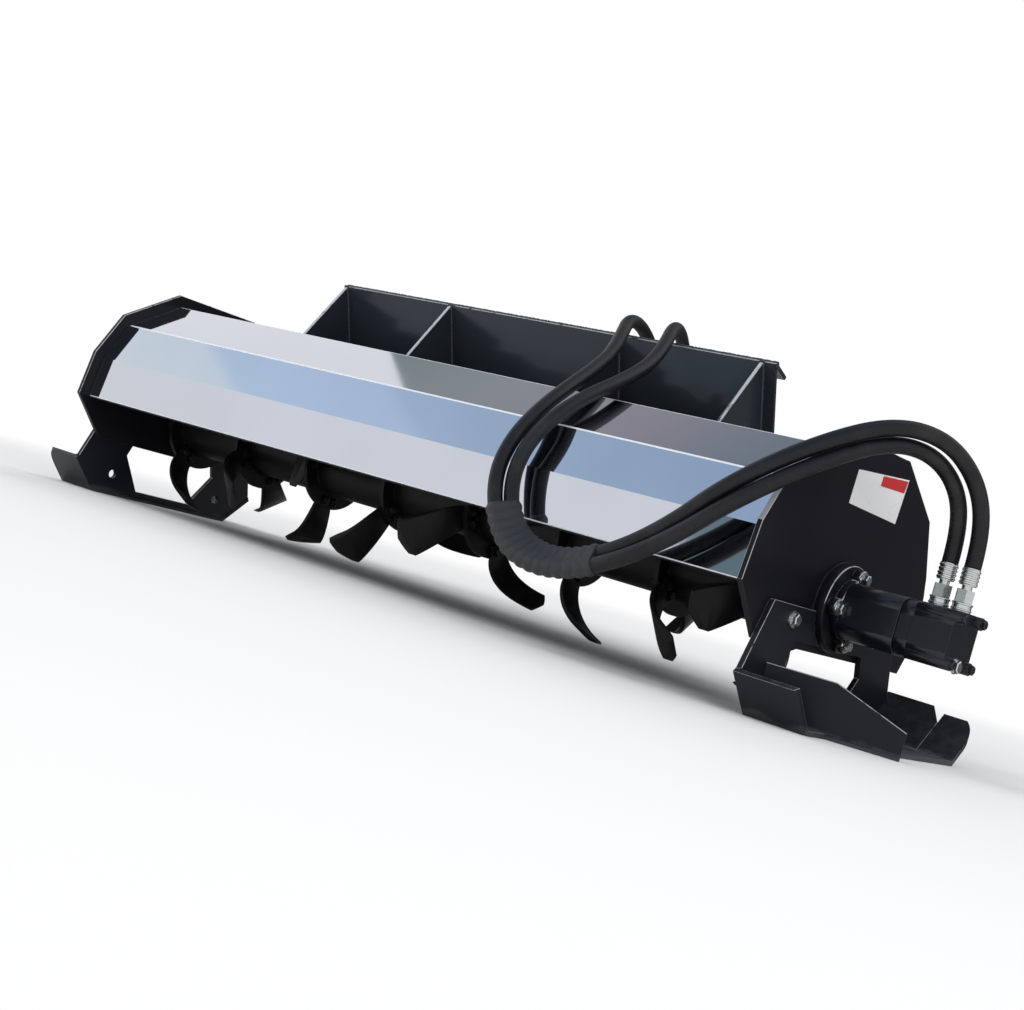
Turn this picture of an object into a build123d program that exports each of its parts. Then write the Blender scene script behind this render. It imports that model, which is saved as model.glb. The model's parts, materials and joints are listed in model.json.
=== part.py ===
from build123d import *
import math
import os

# Rotary tiller, front attachment of a skid-steer loader, standing level on
# its two skid shoes.  Millimetres.  X runs to the motor side, -Y is the way
# it travels, +Z is up.  While it is drawn, Y and Z are counted from the
# rotor's axis; the last step moves the whole machine so that the origin is
# on the ground under the middle of its box.

os.makedirs("parts", exist_ok=True)

# ---------------------------------------------------------------- sizes
WIDTH = 1700.0            # over the outer faces of the two end plates
AXIS_HEIGHT = 196.0       # rotor axis above the ground
END_PLATE = 10.0          # thickness of an end plate
RIM = 25.0                # an end plate stands this proud of the hood skin
SKIN = 5.0                # folded hood sheet
LIP_DEPTH = 28.0          # flat bar that stiffens the hood's lower edges
LIP_THICK = 8.0

# corners of an end plate's front half, counted from the rotor axis
NOSE_Y, NOSE_Z = -297.0, 0.0
BROW_Y, BROW_Z = -286.0, 94.0
SHOULDER_Y, SHOULDER_Z = -240.0, 187.0
CROWN_Y, CROWN_Z = -111.0, 268.0
TAIL_Y, TAIL_Z = 304.0, -24.0        # the rear edge runs on below the axis
PLATE_FOOT = -80.0                   # lower edge of an end plate
FRONT_FOOT_Y = -218.0
REAR_FOOT_Y = 276.0

# skid shoes
SHOE_PLATE = 10.0         # upright plate bolted outside the end plate
SOLE = 8.0                # wearing plate with its turned-up toe and heel
SOLE_WIDTH = 113.0        # stands out from the upright plate
SOLE_HALF = 190.0         # flat length before and behind the axis
TOE_RISE = 62.0
HEEL_RISE = 78.0          # the right heel is turned up higher than a toe
SHOE_TOP = -14.0
SHOE_TOP_HALF = 206.0
SHOE_NOTCH_GAP = 3.0      # the shoe's round notch clears the motor ring or the bearing
SHOE_HOLE_Y, SHOE_HOLE_Z = 149.0, -150.0
SHOE_HOLE = 18.0
TOE_CORNER = 30.0         # radius on the left sole's outer corners
GUARD_TOE_CORNER = 6.0    # the same on the right sole's toe, beside the guard

# motor guard on the right shoe
GUARD = 8.0
GUARD_REACH = 216.0       # outer end, from the end plate
GUARD_FRONT_Y = -186.0
GUARD_SWEEP = 102.0       # its outer end lies this far behind its inner end
GUARD_TALL = 79.0
GUARD_LOW = 36.0
GUARD_LEVEL = 122.0       # the top edge is level out to here
HEEL_REACH = 178.0        # outer edge of its floor's heel, from the end plate
HEEL_CORNER = 44.0
GUARD_HEEL_RISE = 70.0    # the guard floor's heel stays a little lower than the sole's
HEEL_CHAMFER = 30.0       # cut off the sole's heel corner beside it

# rotor
TUBE_R = 60.0
TUBE_WALL = 9.0
TUBE_END_GAP = 36.0       # rotor's end disc to an end plate's inner face
END_DISC = 12.0
FLANGE_R = 90.0
FLANGE = 10.0
TIP_R = 176.0
FLANGE_COUNT = 8
FLANGE_END = 62.0         # outer flange to an end plate's inner face
WELD_GAP = 0.2            # flange bore over the tube
HELIX_STEP = -33.75       # turn from one flange to the next
FIRST_PHASE = 154.0       # where the rotor stands: turn of the flange at the left end

# tine, cut from flat bar and bent to one side
TINE = 8.0
TINE_ROOT = 62.0          # radius where the shank starts
TINE_BEND_START = 84.0
TINE_BEND_R = 78.0
TINE_BEND = 66.0          # degrees out of the shank's plane
TINE_LEG = 36.0           # straight end after the bend
TINE_SHANK = 44.0         # width of the shank
TINE_CREST = 14.0         # the cutting edge reaches the tip circle this far behind the shank's middle
TINE_TRAIL = 72.0         # the blunt tip's last corner, behind the shank's middle

# shafts, bearing and motor
SHAFT_R = 25.0
RUNNING = 0.05            # radial clearance of a shaft in its bore
BEARING_FLANGE = 14.0
BEARING_FLANGE_R = 78.0
BEARING_BOSS_R = 50.0
BEARING_BOSS = 34.0
CAP_R = 42.0
CAP_DEPTH = 22.0
DRIVE_R = 20.0
DRIVE_HUB_R = 36.0
DRIVE_HUB = 30.0
PLATE_BORE_R = 46.0
RING_R = 73.0
RING = 20.0
MOTOR_FLANGE = 15.0
MOTOR_FLANGE_R = 51.0
MOTOR_EAR_R = 14.0
MOTOR_BOLT_R = 54.5
MOTOR_BORE = 12.0         # the drive shaft runs this far into the body
MOTOR_BODY = 92.0         # square section with round corners
MOTOR_ROUND = 24.0
MOTOR_FRONT = 97.0
GEROTOR = 24.0
GEROTOR_SQUARE = 87.0
MOTOR_END = 66.0
END_BOSS = 8.0            # the four corner bosses stand this proud of the end face
END_BOSS_R = 10.0
PORT_PITCH = 38.0
PORT_EDGE = 16.0          # outer port to the motor's end face
FITTING_SEAT_R = 15.0     # round seat on the motor
FITTING_SEAT = 14.0
FITTING_HEX = 26.0        # nut above it, across flats
FITTING_NUT = 20.0
FITTING_NECK_R = 8.0
FITTING_NECK = 7.0
FERRULE_R = 13.5          # crimped on the hose
FERRULE = 27.0

# quick-attach frame
ATTACH_WIDTH = 1153.0
ATTACH_OFFSET = -70.0     # middle of the frame, from the middle of the hood
ATTACH_TOP_Y, ATTACH_TOP_Z = 170.0, 398.0
ATTACH_HEIGHT = 472.0
ATTACH_LEAN = 24.3        # degrees, top leaning forward
ATTACH = 8.0
HOOK_DEPTH = 45.0
LEDGE_DEPTH = 58.0
LEDGE = 12.0
PIN_SLOT_LONG = 66.0
PIN_SLOT_WIDE = 28.0
PIN_FROM_END = 68.5       # middle of a slot to the frame's end
GUSSET = 8.0
GUSSET_TOE_Y = 72.0       # its lower front corner, on the hood's flat top
# columns: the end that a gusset is measured from (1 right, -1 left), and how far in its middle is
GUSSET_PLACES = ((1, 29.0), (1, 366.0), (-1, 329.0), (-1, 4.0))

# hoses
HOSE_R = 13.0
COUPLER_R = 17.0
COUPLER = 86.0
NOSE_R = 11.8             # plug of the male coupling
SOCKET_FIT = 0.15
SOCKET_DEPTH = 30.0

# columns: x, y, z of the first hose; the second hose's step away from it
HOSE_ROUTE = (
    (None, 0, None, 0, 0, 0),
    (None, 0, 171, 0, 0, 4),
    (1007, -28, 231, 30, 2, 14),
    (979, -82, 266, 20, -2, 25),
    (938, -148, 261, 4, -8, 27),
    (888, -246, 198, -8, -6, 26),
    (814, -320, 110, -16, 0, 24),
    (728, -330, 28, -13, 11, 22),
    (634, -336, -34, -8, 17, 21),
    (536, -338, -68, -2, 20, 20),
    (446, -337, -60, 10, 22, 20),
    (384, -328, -8, 19, 18, 7),
    (350, -316, 60, 26, 13, 0),
    (346, -294, 124, 28, 8, -2),
    (348, -250, 184, 34, 4, -4),
    (336, -178, 238, 44, 4, -6),
    (308, -88, 288, 66, 4, -8),
    (266, 4, 336, 88, 2, -8),
    (214, 84, 384, 104, 0, -4),
    (166, 156, 430, 108, 0, 0),
    (130, 244, 440, 98, 0, 0),
    (108, 332, 412, 82, 0, 0),
    (96, 400, 356, 70, 0, 0),
    (91, 440, 280, 61, 0, 0),
    (90, 456, 198, 56, 0, 0),
)


# ---------------------------------------------------------------- helpers
def polygon(points, x, thick):
    """A flat plate: its outline in Y and Z, its left face at x."""
    plane = Plane(origin=(x, 0, 0), x_dir=(0, 1, 0), z_dir=(1, 0, 0))
    return extrude(plane * make_face(Polyline(*points, close=True)), amount=thick)


def rod(x, long, radius, y=0.0, z=0.0):
    """A round bar along X from x."""
    plane = Plane(origin=(x, y, z), x_dir=(0, 1, 0), z_dir=(1, 0, 0))
    return extrude(plane * Circle(radius), amount=long)


def squared(x, long, side, corner):
    """A square bar with round corners along X from x."""
    plane = Plane(origin=(x, 0, 0), x_dir=(0, 1, 0), z_dir=(1, 0, 0))
    return extrude(plane * RectangleRounded(side, side, corner), amount=long)


def inset(points, depth):
    """An open line of points moved inwards (to the right of its run) by depth."""
    edges = []
    for (y0, z0), (y1, z1) in zip(points, points[1:]):
        size = math.hypot(y1 - y0, z1 - z0)
        ny, nz = (z1 - z0) / size, -(y1 - y0) / size
        edges.append((y0 + ny * depth, z0 + nz * depth, y1 - y0, z1 - z0))
    moved = [meet(edges[0], (points[0][0], points[0][1], 1, 0))]
    moved += [meet(one, two) for one, two in zip(edges, edges[1:])]
    moved.append(meet(edges[-1], (points[-1][0], points[-1][1], 1, 0)))
    return moved


def meet(one, two):
    """Where two lines cross; a line is a point and a direction."""
    y0, z0, dy0, dz0 = one
    y1, z1, dy1, dz1 = two
    t = ((y1 - y0) * dz1 - (z1 - z0) * dy1) / (dy0 * dz1 - dz0 * dy1)
    return (y0 + t * dy0, z0 + t * dz0)


def mirrored(points):
    """The same points on the other side of the axis, in reverse order."""
    return [(-y, z) for y, z in reversed(points)]


def flip(shape):
    """The shape on the machine's left, from the one on its right."""
    return mirror(shape, about=Plane.YZ)


pieces = {}
outer = WIDTH / 2
inner = outer - END_PLATE

# ---------------------------------------------------------------- hood
front_half = [(NOSE_Y, NOSE_Z), (BROW_Y, BROW_Z), (SHOULDER_Y, SHOULDER_Z), (CROWN_Y, CROWN_Z)]
arch = front_half + mirrored(front_half)
skin_outside = inset(arch, RIM)
skin_inside = inset(arch, RIM + SKIN)
hood = polygon(skin_outside + skin_inside[::-1], -inner, 2 * inner)
pieces["hood_skin"] = hood

lip_y = skin_inside[0][0]
lean = (skin_inside[1][0] - skin_inside[0][0]) / (skin_inside[1][1] - skin_inside[0][1])
lip_shape = [
    (lip_y, NOSE_Z),
    (lip_y + lean * LIP_DEPTH, NOSE_Z + LIP_DEPTH),
    (lip_y + lean * LIP_DEPTH + LIP_THICK, NOSE_Z + LIP_DEPTH),
    (lip_y + LIP_THICK, NOSE_Z),
]
pieces["hood_front_lip"] = polygon(lip_shape, -inner, 2 * inner)
pieces["hood_rear_lip"] = polygon(mirrored(lip_shape), -inner, 2 * inner)

plate_outline = front_half + mirrored(front_half)[:-1] + [
    (-NOSE_Y, NOSE_Z + 60.0),
    (TAIL_Y, TAIL_Z),
    (REAR_FOOT_Y, PLATE_FOOT),
    (FRONT_FOOT_Y, PLATE_FOOT),
]
end_plate = polygon(plate_outline, inner, END_PLATE) - rod(inner, END_PLATE, PLATE_BORE_R)
pieces["end_plate_right"] = end_plate
pieces["end_plate_left"] = flip(end_plate)

# ---------------------------------------------------------------- skid shoes
ground = -AXIS_HEIGHT
toe_y = SOLE_HALF + TOE_RISE
toe_z = ground + TOE_RISE
knee = SOLE * math.tan(math.radians(22.5))
tip = SOLE * math.sqrt(0.5)
sole_top = [
    (-toe_y + tip, toe_z + tip), (-SOLE_HALF + knee, ground + SOLE),
    (SOLE_HALF - knee, ground + SOLE), (toe_y - tip, toe_z + tip),
]
sole_under = [(-toe_y, toe_z), (-SOLE_HALF, ground), (SOLE_HALF, ground), (toe_y, toe_z)]
shoe_outline = sole_top + [(SHOE_TOP_HALF, SHOE_TOP), (-SHOE_TOP_HALF, SHOE_TOP)]
window = [(-75, -176), (-125, -103), (-112, -68), (112, -68), (125, -103), (75, -176)]
shoe_plate = polygon(shoe_outline, outer, SHOE_PLATE) - polygon(window, outer, SHOE_PLATE)
for side in (-1, 1):
    shoe_plate -= rod(outer, SHOE_PLATE, SHOE_HOLE / 2, side * SHOE_HOLE_Y, SHOE_HOLE_Z)
pieces["shoe_plate_right"] = shoe_plate - rod(outer, SHOE_PLATE, RING_R + SHOE_NOTCH_GAP)
pieces["shoe_plate_left"] = flip(shoe_plate - rod(outer, SHOE_PLATE, BEARING_FLANGE_R + SHOE_NOTCH_GAP))

# the wearing soles: a bar with both ends turned up, cut to its plan
def turned_up(x, wide, heel_rise):
    """A sole's bar: flat in the middle, its toe and heel turned up at 45 degrees."""
    heel_y, heel_z = SOLE_HALF + heel_rise, ground + heel_rise
    top = sole_top[:3] + [(heel_y - tip, heel_z + tip)]
    under = sole_under[:3] + [(heel_y, heel_z)]
    return polygon(under + top[::-1], x, wide)


def cut_to_plan(bar, plan):
    """What stands of a bar over its plan, drawn in X and Y."""
    return bar & extrude(Pos(0, 0, ground) * plan, amount=2 * HEEL_RISE)


left_plan = Pos(outer, 0) * RectangleRounded(2 * SOLE_WIDTH, 2 * toe_y, TOE_CORNER)
pieces["shoe_sole_left"] = flip(cut_to_plan(turned_up(outer, SOLE_WIDTH, TOE_RISE), left_plan))

sole_edge = outer + SOLE_WIDTH
heel_y = SOLE_HALF + HEEL_RISE
right_plan = make_face(Polyline(
    (outer, -toe_y), (sole_edge - GUARD_TOE_CORNER, -toe_y), (sole_edge, -toe_y + GUARD_TOE_CORNER),
    (sole_edge, heel_y - HEEL_CHAMFER), (sole_edge - HEEL_CHAMFER, heel_y), (outer, heel_y),
    close=True,
))
pieces["shoe_sole_right"] = cut_to_plan(turned_up(outer, SOLE_WIDTH, HEEL_RISE), right_plan)

# motor guard: a floor beside the right sole and a swept plate standing on both
guard_rear = GUARD_FRONT_Y + GUARD_SWEEP
slope = GUARD_SWEEP / GUARD_REACH
floor_front = GUARD_FRONT_Y + slope * SOLE_WIDTH
floor_heel_y = SOLE_HALF + GUARD_HEEL_RISE
floor_plan = [
    (sole_edge, floor_front), (outer + GUARD_REACH, guard_rear),
    (outer + HEEL_REACH, guard_rear + GUARD_REACH - HEEL_REACH),
    (outer + HEEL_REACH, floor_heel_y), (sole_edge, floor_heel_y),
]
floor_face = make_face(Polyline(*floor_plan, close=True))
heel_corner = floor_face.vertices().sort_by(Axis.Y)[-2:].sort_by(Axis.X)[-1]
floor_bar = turned_up(sole_edge, GUARD_REACH - SOLE_WIDTH, GUARD_HEEL_RISE)
pieces["motor_guard_floor"] = cut_to_plan(floor_bar, fillet(heel_corner, HEEL_CORNER))

guard_run = math.hypot(GUARD_REACH, GUARD_SWEEP)
guard_plane = Plane(
    origin=(outer, GUARD_FRONT_Y, ground + SOLE),
    x_dir=(GUARD_REACH, GUARD_SWEEP, 0),
    z_dir=(GUARD_SWEEP, -GUARD_REACH, 0),
)
guard_outline = [
    (0, 0), (guard_run, 0), (guard_run, GUARD_LOW), (GUARD_LEVEL, GUARD_TALL), (0, GUARD_TALL),
]
guard = extrude(guard_plane * make_face(Polyline(*guard_outline, close=True)), amount=-GUARD)
guard -= polygon(shoe_outline, outer - GUARD, GUARD + SHOE_PLATE)
pieces["motor_guard_plate"] = guard

# ---------------------------------------------------------------- rotor
rotor_end = inner - TUBE_END_GAP
tube_end = rotor_end - END_DISC
tube = rod(-tube_end, 2 * tube_end, TUBE_R) - rod(-tube_end, 2 * tube_end, TUBE_R - TUBE_WALL)
pieces["rotor_tube"] = tube

first_flange = -inner + FLANGE_END
pitch = -2 * first_flange / (FLANGE_COUNT - 1)
flanges = []
tines = {"left": [], "right": []}

# one tine, standing up from the axis at phase 0 and bent towards +X
turn = math.radians(TINE_BEND)
bend_x = TINE + TINE_BEND_R


def on_bend(radius, angle):
    """A point of the tine's bend in X and radius."""
    return (bend_x - radius * math.cos(angle), TINE_BEND_START + radius * math.sin(angle))


def leg_end(radius):
    """The end of the straight leg after the bend."""
    x, z = on_bend(radius, turn)
    return (x + TINE_LEG * math.sin(turn), z + TINE_LEG * math.cos(turn))


far, near = TINE_BEND_R + TINE, TINE_BEND_R
strip = [
    Line((0, TINE_ROOT), (0, TINE_BEND_START)),
    ThreePointArc(on_bend(far, 0), on_bend(far, turn / 2), on_bend(far, turn)),
    Line(on_bend(far, turn), leg_end(far)),
    Line(leg_end(far), leg_end(near)),
    Line(leg_end(near), on_bend(near, turn)),
    ThreePointArc(on_bend(near, turn), on_bend(near, turn / 2), on_bend(near, 0)),
    Line((TINE, TINE_BEND_START), (TINE, TINE_ROOT)),
    Line((TINE, TINE_ROOT), (0, TINE_ROOT)),
]
bent_bar = extrude(Plane.XZ * make_face(strip), amount=TIP_R, both=True)

half = TINE_SHANK / 2
tip_z = math.sqrt(TIP_R ** 2 - TINE_TRAIL ** 2)
crest = (-TINE_CREST, math.sqrt(TIP_R ** 2 - TINE_CREST ** 2))
middle = math.asin((TINE_CREST + TINE_TRAIL) / 2 / TIP_R)
blade = [
    Line((half, TINE_ROOT), (half, TINE_BEND_START)),
    ThreePointArc((half, TINE_BEND_START), (0.7 * half, 0.8 * TIP_R), crest),
    ThreePointArc(crest, (-TIP_R * math.sin(middle), TIP_R * math.cos(middle)), (-TINE_TRAIL, tip_z)),
    ThreePointArc((-TINE_TRAIL, tip_z), (-1.9 * half, 0.73 * TIP_R), (-half, TINE_BEND_START)),
    Line((-half, TINE_BEND_START), (-half, TINE_ROOT)),
    Line((-half, TINE_ROOT), (half, TINE_ROOT)),
]
side_plane = Plane(origin=(-TINE, 0, 0), x_dir=(0, 1, 0), z_dir=(1, 0, 0))
blade_bar = extrude(side_plane * make_face(blade), amount=TIP_R)
tine_right = bent_bar & blade_bar
tine_left = flip(tine_right)

for number in range(FLANGE_COUNT):
    x = first_flange + number * pitch
    flanges.append(rod(x - FLANGE / 2, FLANGE, FLANGE_R) - rod(x - FLANGE / 2, FLANGE, TUBE_R + WELD_GAP))
    hands = ["right", "left"] * 2
    if number == 0:
        hands = ["right"] * 4
    if number == FLANGE_COUNT - 1:
        hands = ["left"] * 4
    for place, hand in enumerate(hands):
        phase = FIRST_PHASE + 90 * place + HELIX_STEP * number
        if hand == "right":
            tines[hand].append(Pos(x + FLANGE / 2, 0, 0) * Rot(phase, 0, 0) * tine_right)
        else:
            tines[hand].append(Pos(x - FLANGE / 2, 0, 0) * Rot(phase, 0, 0) * tine_left)
pieces["rotor_flanges"] = Compound(flanges)
pieces["tines_left_hand"] = Compound(tines["left"])
pieces["tines_right_hand"] = Compound(tines["right"])

# ---------------------------------------------------------------- left bearing
housing_end = outer + BEARING_FLANGE + BEARING_BOSS
stub = rod(tube_end, END_DISC, TUBE_R) + rod(rotor_end, housing_end + CAP_DEPTH / 3 - rotor_end, SHAFT_R)
pieces["stub_shaft_left"] = flip(stub)
housing = rod(outer, BEARING_FLANGE, BEARING_FLANGE_R)
housing += rod(outer, BEARING_FLANGE + BEARING_BOSS, BEARING_BOSS_R)
housing -= rod(outer, BEARING_FLANGE + BEARING_BOSS, SHAFT_R + RUNNING)
pieces["bearing_housing_left"] = flip(housing)
cap = rod(housing_end, CAP_DEPTH, CAP_R) - rod(housing_end, CAP_DEPTH / 2, SHAFT_R + 4)
pieces["bearing_cap_left"] = flip(cap)

# ---------------------------------------------------------------- motor
ring_end = outer + RING
flange_end = ring_end + MOTOR_FLANGE
front_end = flange_end + MOTOR_FRONT
gerotor_end = front_end + GEROTOR
motor_end = gerotor_end + MOTOR_END
shaft_end = flange_end + MOTOR_BORE - 3
drive = rod(tube_end, END_DISC, TUBE_R) + rod(rotor_end, DRIVE_HUB, DRIVE_HUB_R)
drive += rod(rotor_end, shaft_end - rotor_end, DRIVE_R)
pieces["drive_shaft"] = drive
pieces["motor_ring"] = rod(outer, RING, RING_R) - rod(outer, RING, PLATE_BORE_R)
flange = rod(ring_end, MOTOR_FLANGE, MOTOR_FLANGE_R)
for y, z in ((1, 0), (0, 1), (-1, 0), (0, -1)):
    ear = rod(ring_end, MOTOR_FLANGE, MOTOR_EAR_R, y * MOTOR_BOLT_R, z * MOTOR_BOLT_R)
    arm = Pos(ring_end + MOTOR_FLANGE / 2, y * MOTOR_BOLT_R / 2, z * MOTOR_BOLT_R / 2)
    wide = 2 * MOTOR_EAR_R
    size = (MOTOR_FLANGE, MOTOR_BOLT_R if y else wide, MOTOR_BOLT_R if z else wide)
    flange += ear + arm * Box(*size)
pieces["motor_flange"] = flange - rod(ring_end, MOTOR_FLANGE, DRIVE_R + RUNNING)
front = squared(flange_end, MOTOR_FRONT, MOTOR_BODY, MOTOR_ROUND)
pieces["motor_body"] = front - rod(flange_end, MOTOR_BORE, DRIVE_R + RUNNING)
pieces["motor_gerotor"] = squared(front_end, GEROTOR, GEROTOR_SQUARE, MOTOR_ROUND)
end_cap = squared(gerotor_end, MOTOR_END, MOTOR_BODY, MOTOR_ROUND)
boss_centre = MOTOR_BODY / 2 - END_BOSS_R
for y in (-boss_centre, boss_centre):
    for z in (-boss_centre, boss_centre):
        end_cap += rod(gerotor_end, MOTOR_END + END_BOSS, END_BOSS_R, y, z)
pieces["motor_end_cap"] = end_cap

motor_top = MOTOR_BODY / 2
port_x = [motor_end - PORT_EDGE - PORT_PITCH, motor_end - PORT_EDGE]
hexagon = RegularPolygon(FITTING_HEX / 2, 6, major_radius=False)
for number, x in enumerate(port_x, 1):
    fitting, height = None, motor_top
    for section, tall in (
        (Circle(FITTING_SEAT_R), FITTING_SEAT), (hexagon, FITTING_NUT),
        (Circle(FITTING_NECK_R), FITTING_NECK), (Circle(FERRULE_R), FERRULE),
    ):
        step = extrude(Pos(x, 0, height) * section, amount=tall)
        fitting = step if fitting is None else fitting + step
        height += tall
    pieces[f"port_fitting_{number}"] = fitting

# ---------------------------------------------------------------- quick-attach frame
lean_angle = math.radians(ATTACH_LEAN)
down = (math.sin(lean_angle), -math.cos(lean_angle))
back = (math.cos(lean_angle), math.sin(lean_angle))


def on_frame(along, out):
    """A point of the frame: along its face from the top, and out behind it."""
    return (
        ATTACH_TOP_Y + along * down[0] + out * back[0],
        ATTACH_TOP_Z + along * down[1] + out * back[1],
    )


frame_left = ATTACH_OFFSET - ATTACH_WIDTH / 2
face = [on_frame(0, 0), on_frame(ATTACH_HEIGHT, 0), on_frame(ATTACH_HEIGHT, ATTACH), on_frame(0, ATTACH)]
pieces["attach_plate"] = polygon(face, frame_left, ATTACH_WIDTH)

reach = HOOK_DEPTH * math.sqrt(0.5)
root = ATTACH * math.sqrt(2)
hook = [
    on_frame(0, ATTACH), on_frame(reach, ATTACH + reach),
    on_frame(reach + root / 2, ATTACH + reach - root / 2), on_frame(root, ATTACH),
]
pieces["attach_hook"] = polygon(hook, frame_left, ATTACH_WIDTH)

shelf = [
    on_frame(ATTACH_HEIGHT, ATTACH), on_frame(ATTACH_HEIGHT, ATTACH + LEDGE_DEPTH),
    on_frame(ATTACH_HEIGHT - LEDGE, ATTACH + LEDGE_DEPTH), on_frame(ATTACH_HEIGHT - LEDGE, ATTACH),
]
ledge = polygon(shelf, frame_left, ATTACH_WIDTH)
slot_y, slot_z = on_frame(ATTACH_HEIGHT - LEDGE / 2, ATTACH + LEDGE_DEPTH / 2)
for side in (-1, 1):
    x = ATTACH_OFFSET + side * (ATTACH_WIDTH / 2 - PIN_FROM_END)
    slot_plane = Plane(origin=(x, slot_y, slot_z), x_dir=(1, 0, 0), z_dir=(0, *down))
    slot = slot_plane * SlotOverall(PIN_SLOT_LONG, PIN_SLOT_WIDE)
    ledge -= extrude(slot, amount=LEDGE, both=True)
pieces["attach_ledge"] = ledge

heel_along = (ATTACH_TOP_Z - NOSE_Z) / math.cos(lean_angle)
gusset_shape = [on_frame(0, 0), (GUSSET_TOE_Y, skin_outside[3][1])]
gusset_shape += skin_outside[4:] + [on_frame(heel_along, 0)]
for number, (end, place) in enumerate(GUSSET_PLACES, 1):
    x = ATTACH_OFFSET + end * (ATTACH_WIDTH / 2 - place) - GUSSET / 2
    pieces[f"gusset_{number}"] = polygon(gusset_shape, x, GUSSET)

# ---------------------------------------------------------------- hoses
def hose_path(points):
    """Straight runs joined by tangent arcs, each as large as its runs allow."""
    radii = []
    for one, two, three in zip(points, points[1:], points[2:]):
        a, b = Vector(*two) - Vector(*one), Vector(*three) - Vector(*two)
        angle = math.radians(a.get_angle(b))
        radii.append(0.45 * min(a.length, b.length) / math.tan(angle / 2))
    return FilletPolyline(*points, radius=radii), radii


def coupler_body(end, along, male):
    """A quick coupling on a hose's end: ferrule, hex, then a nose or a socket."""
    plane = Plane(origin=end, z_dir=along)
    hex_start, nose_start = 0.35 * COUPLER, 0.6 * COUPLER
    body = extrude(plane * Circle(COUPLER_R - 2), amount=hex_start)
    body += extrude(plane.offset(hex_start) * RegularPolygon(COUPLER_R + 1, 6), amount=nose_start - hex_start)
    if male:
        body += extrude(plane.offset(nose_start) * Circle(NOSE_R), amount=COUPLER - nose_start)
    else:
        body += extrude(plane.offset(nose_start) * Circle(COUPLER_R), amount=COUPLER - nose_start)
        socket = plane.offset(COUPLER - SOCKET_DEPTH) * Circle(NOSE_R + SOCKET_FIT)
        body -= extrude(socket, amount=SOCKET_DEPTH)
    mouth = [round(value, 3) for value in Vector(*end) + Vector(*along) * COUPLER]
    print("  coupler mouth", mouth, "along", [round(value, 5) for value in along])
    return body


fitting_top = motor_top + FITTING_SEAT + FITTING_NUT + FITTING_NECK + FERRULE
for number, x_port in enumerate(port_x, 1):
    route = []
    for x, y, z, dx, dy, dz in HOSE_ROUTE:
        shift = number - 1
        route.append((
            x_port if x is None else x + shift * dx,
            y + shift * dy,
            fitting_top if z is None else z + shift * dz,
        ))
    path, radii = hose_path(route)
    section = Plane(origin=path @ 0, z_dir=path % 0) * Circle(HOSE_R)
    hose = sweep(section, path=path)
    expected = math.pi * HOSE_R ** 2 * path.length
    print(f"hose_{number} length {path.length:.0f} volume ratio {hose.volume / expected:.4f}")
    print("  radii", [round(radius) for radius in radii])
    pieces[f"hose_{number}"] = hose
    pieces[f"coupler_{number}"] = coupler_body(path @ 1, path % 1, number == 1)

# ---------------------------------------------------------------- place and write
CORD_NODES = ("hose_1", "hose_2", "coupler_1", "coupler_2")
rigid = Compound([shape for name, shape in pieces.items() if name not in CORD_NODES])
box = rigid.bounding_box()
place = Pos(-box.center().X, -box.center().Y, AXIS_HEIGHT)
for name, shape in pieces.items():
    export_step(place * shape, f"parts/{name}.step")
print("slots", round(slot_y, 3), round(slot_z, 3))
print("moved", [round(value, 3) for value in (-box.center().X, -box.center().Y, AXIS_HEIGHT)])
print("box", [round(value, 1) for value in (*box.min, *box.max)])
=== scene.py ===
"""Looks of a rotary tiller: finishes, fasteners, welds, hoses, its studio and its camera.

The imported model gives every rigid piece.  This file adds what a workshop adds
to them: paint, machined and plated steel, bolts, weld beads, hoses and a sign.
Everything is in metres.  X runs to the motor side, -Y is the way the machine
travels and +Z is up.
"""

from __future__ import annotations

import json
import logging
import math
from collections.abc import Iterable, Mapping, Sequence
from dataclasses import asdict, dataclass, field, replace
from enum import Enum
from typing import Any

import bmesh
import bpy
from bpy.types import ColorRamp, Material, Mesh, Node, NodeSocket, NodeTree, Object
from mathutils import Matrix, Quaternion, Vector
from mathutils.bvhtree import BVHTree

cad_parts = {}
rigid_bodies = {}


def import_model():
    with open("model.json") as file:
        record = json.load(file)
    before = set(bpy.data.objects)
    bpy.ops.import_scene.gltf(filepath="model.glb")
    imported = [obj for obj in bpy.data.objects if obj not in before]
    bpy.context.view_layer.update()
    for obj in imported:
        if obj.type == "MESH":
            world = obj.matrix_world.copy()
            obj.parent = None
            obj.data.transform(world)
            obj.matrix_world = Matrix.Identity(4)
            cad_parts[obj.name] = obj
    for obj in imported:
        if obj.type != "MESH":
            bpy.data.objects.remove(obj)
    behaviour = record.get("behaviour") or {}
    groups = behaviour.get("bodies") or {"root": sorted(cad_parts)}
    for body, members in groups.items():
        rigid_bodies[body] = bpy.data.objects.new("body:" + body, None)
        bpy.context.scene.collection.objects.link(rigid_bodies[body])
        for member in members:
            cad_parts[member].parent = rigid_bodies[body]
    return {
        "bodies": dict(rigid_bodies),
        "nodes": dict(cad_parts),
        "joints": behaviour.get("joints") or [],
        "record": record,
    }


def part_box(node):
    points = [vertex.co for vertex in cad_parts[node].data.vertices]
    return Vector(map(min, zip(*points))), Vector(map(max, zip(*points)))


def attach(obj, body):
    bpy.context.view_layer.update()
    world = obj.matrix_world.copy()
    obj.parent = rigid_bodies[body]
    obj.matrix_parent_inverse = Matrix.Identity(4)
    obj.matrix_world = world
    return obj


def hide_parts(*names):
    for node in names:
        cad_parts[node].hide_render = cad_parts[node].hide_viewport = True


LOG = logging.getLogger("tiller")
Colour = tuple[float, float, float]
Point = tuple[float, float, float]
Span = tuple[float, float]
Line = tuple[Vector, Vector]
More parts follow.
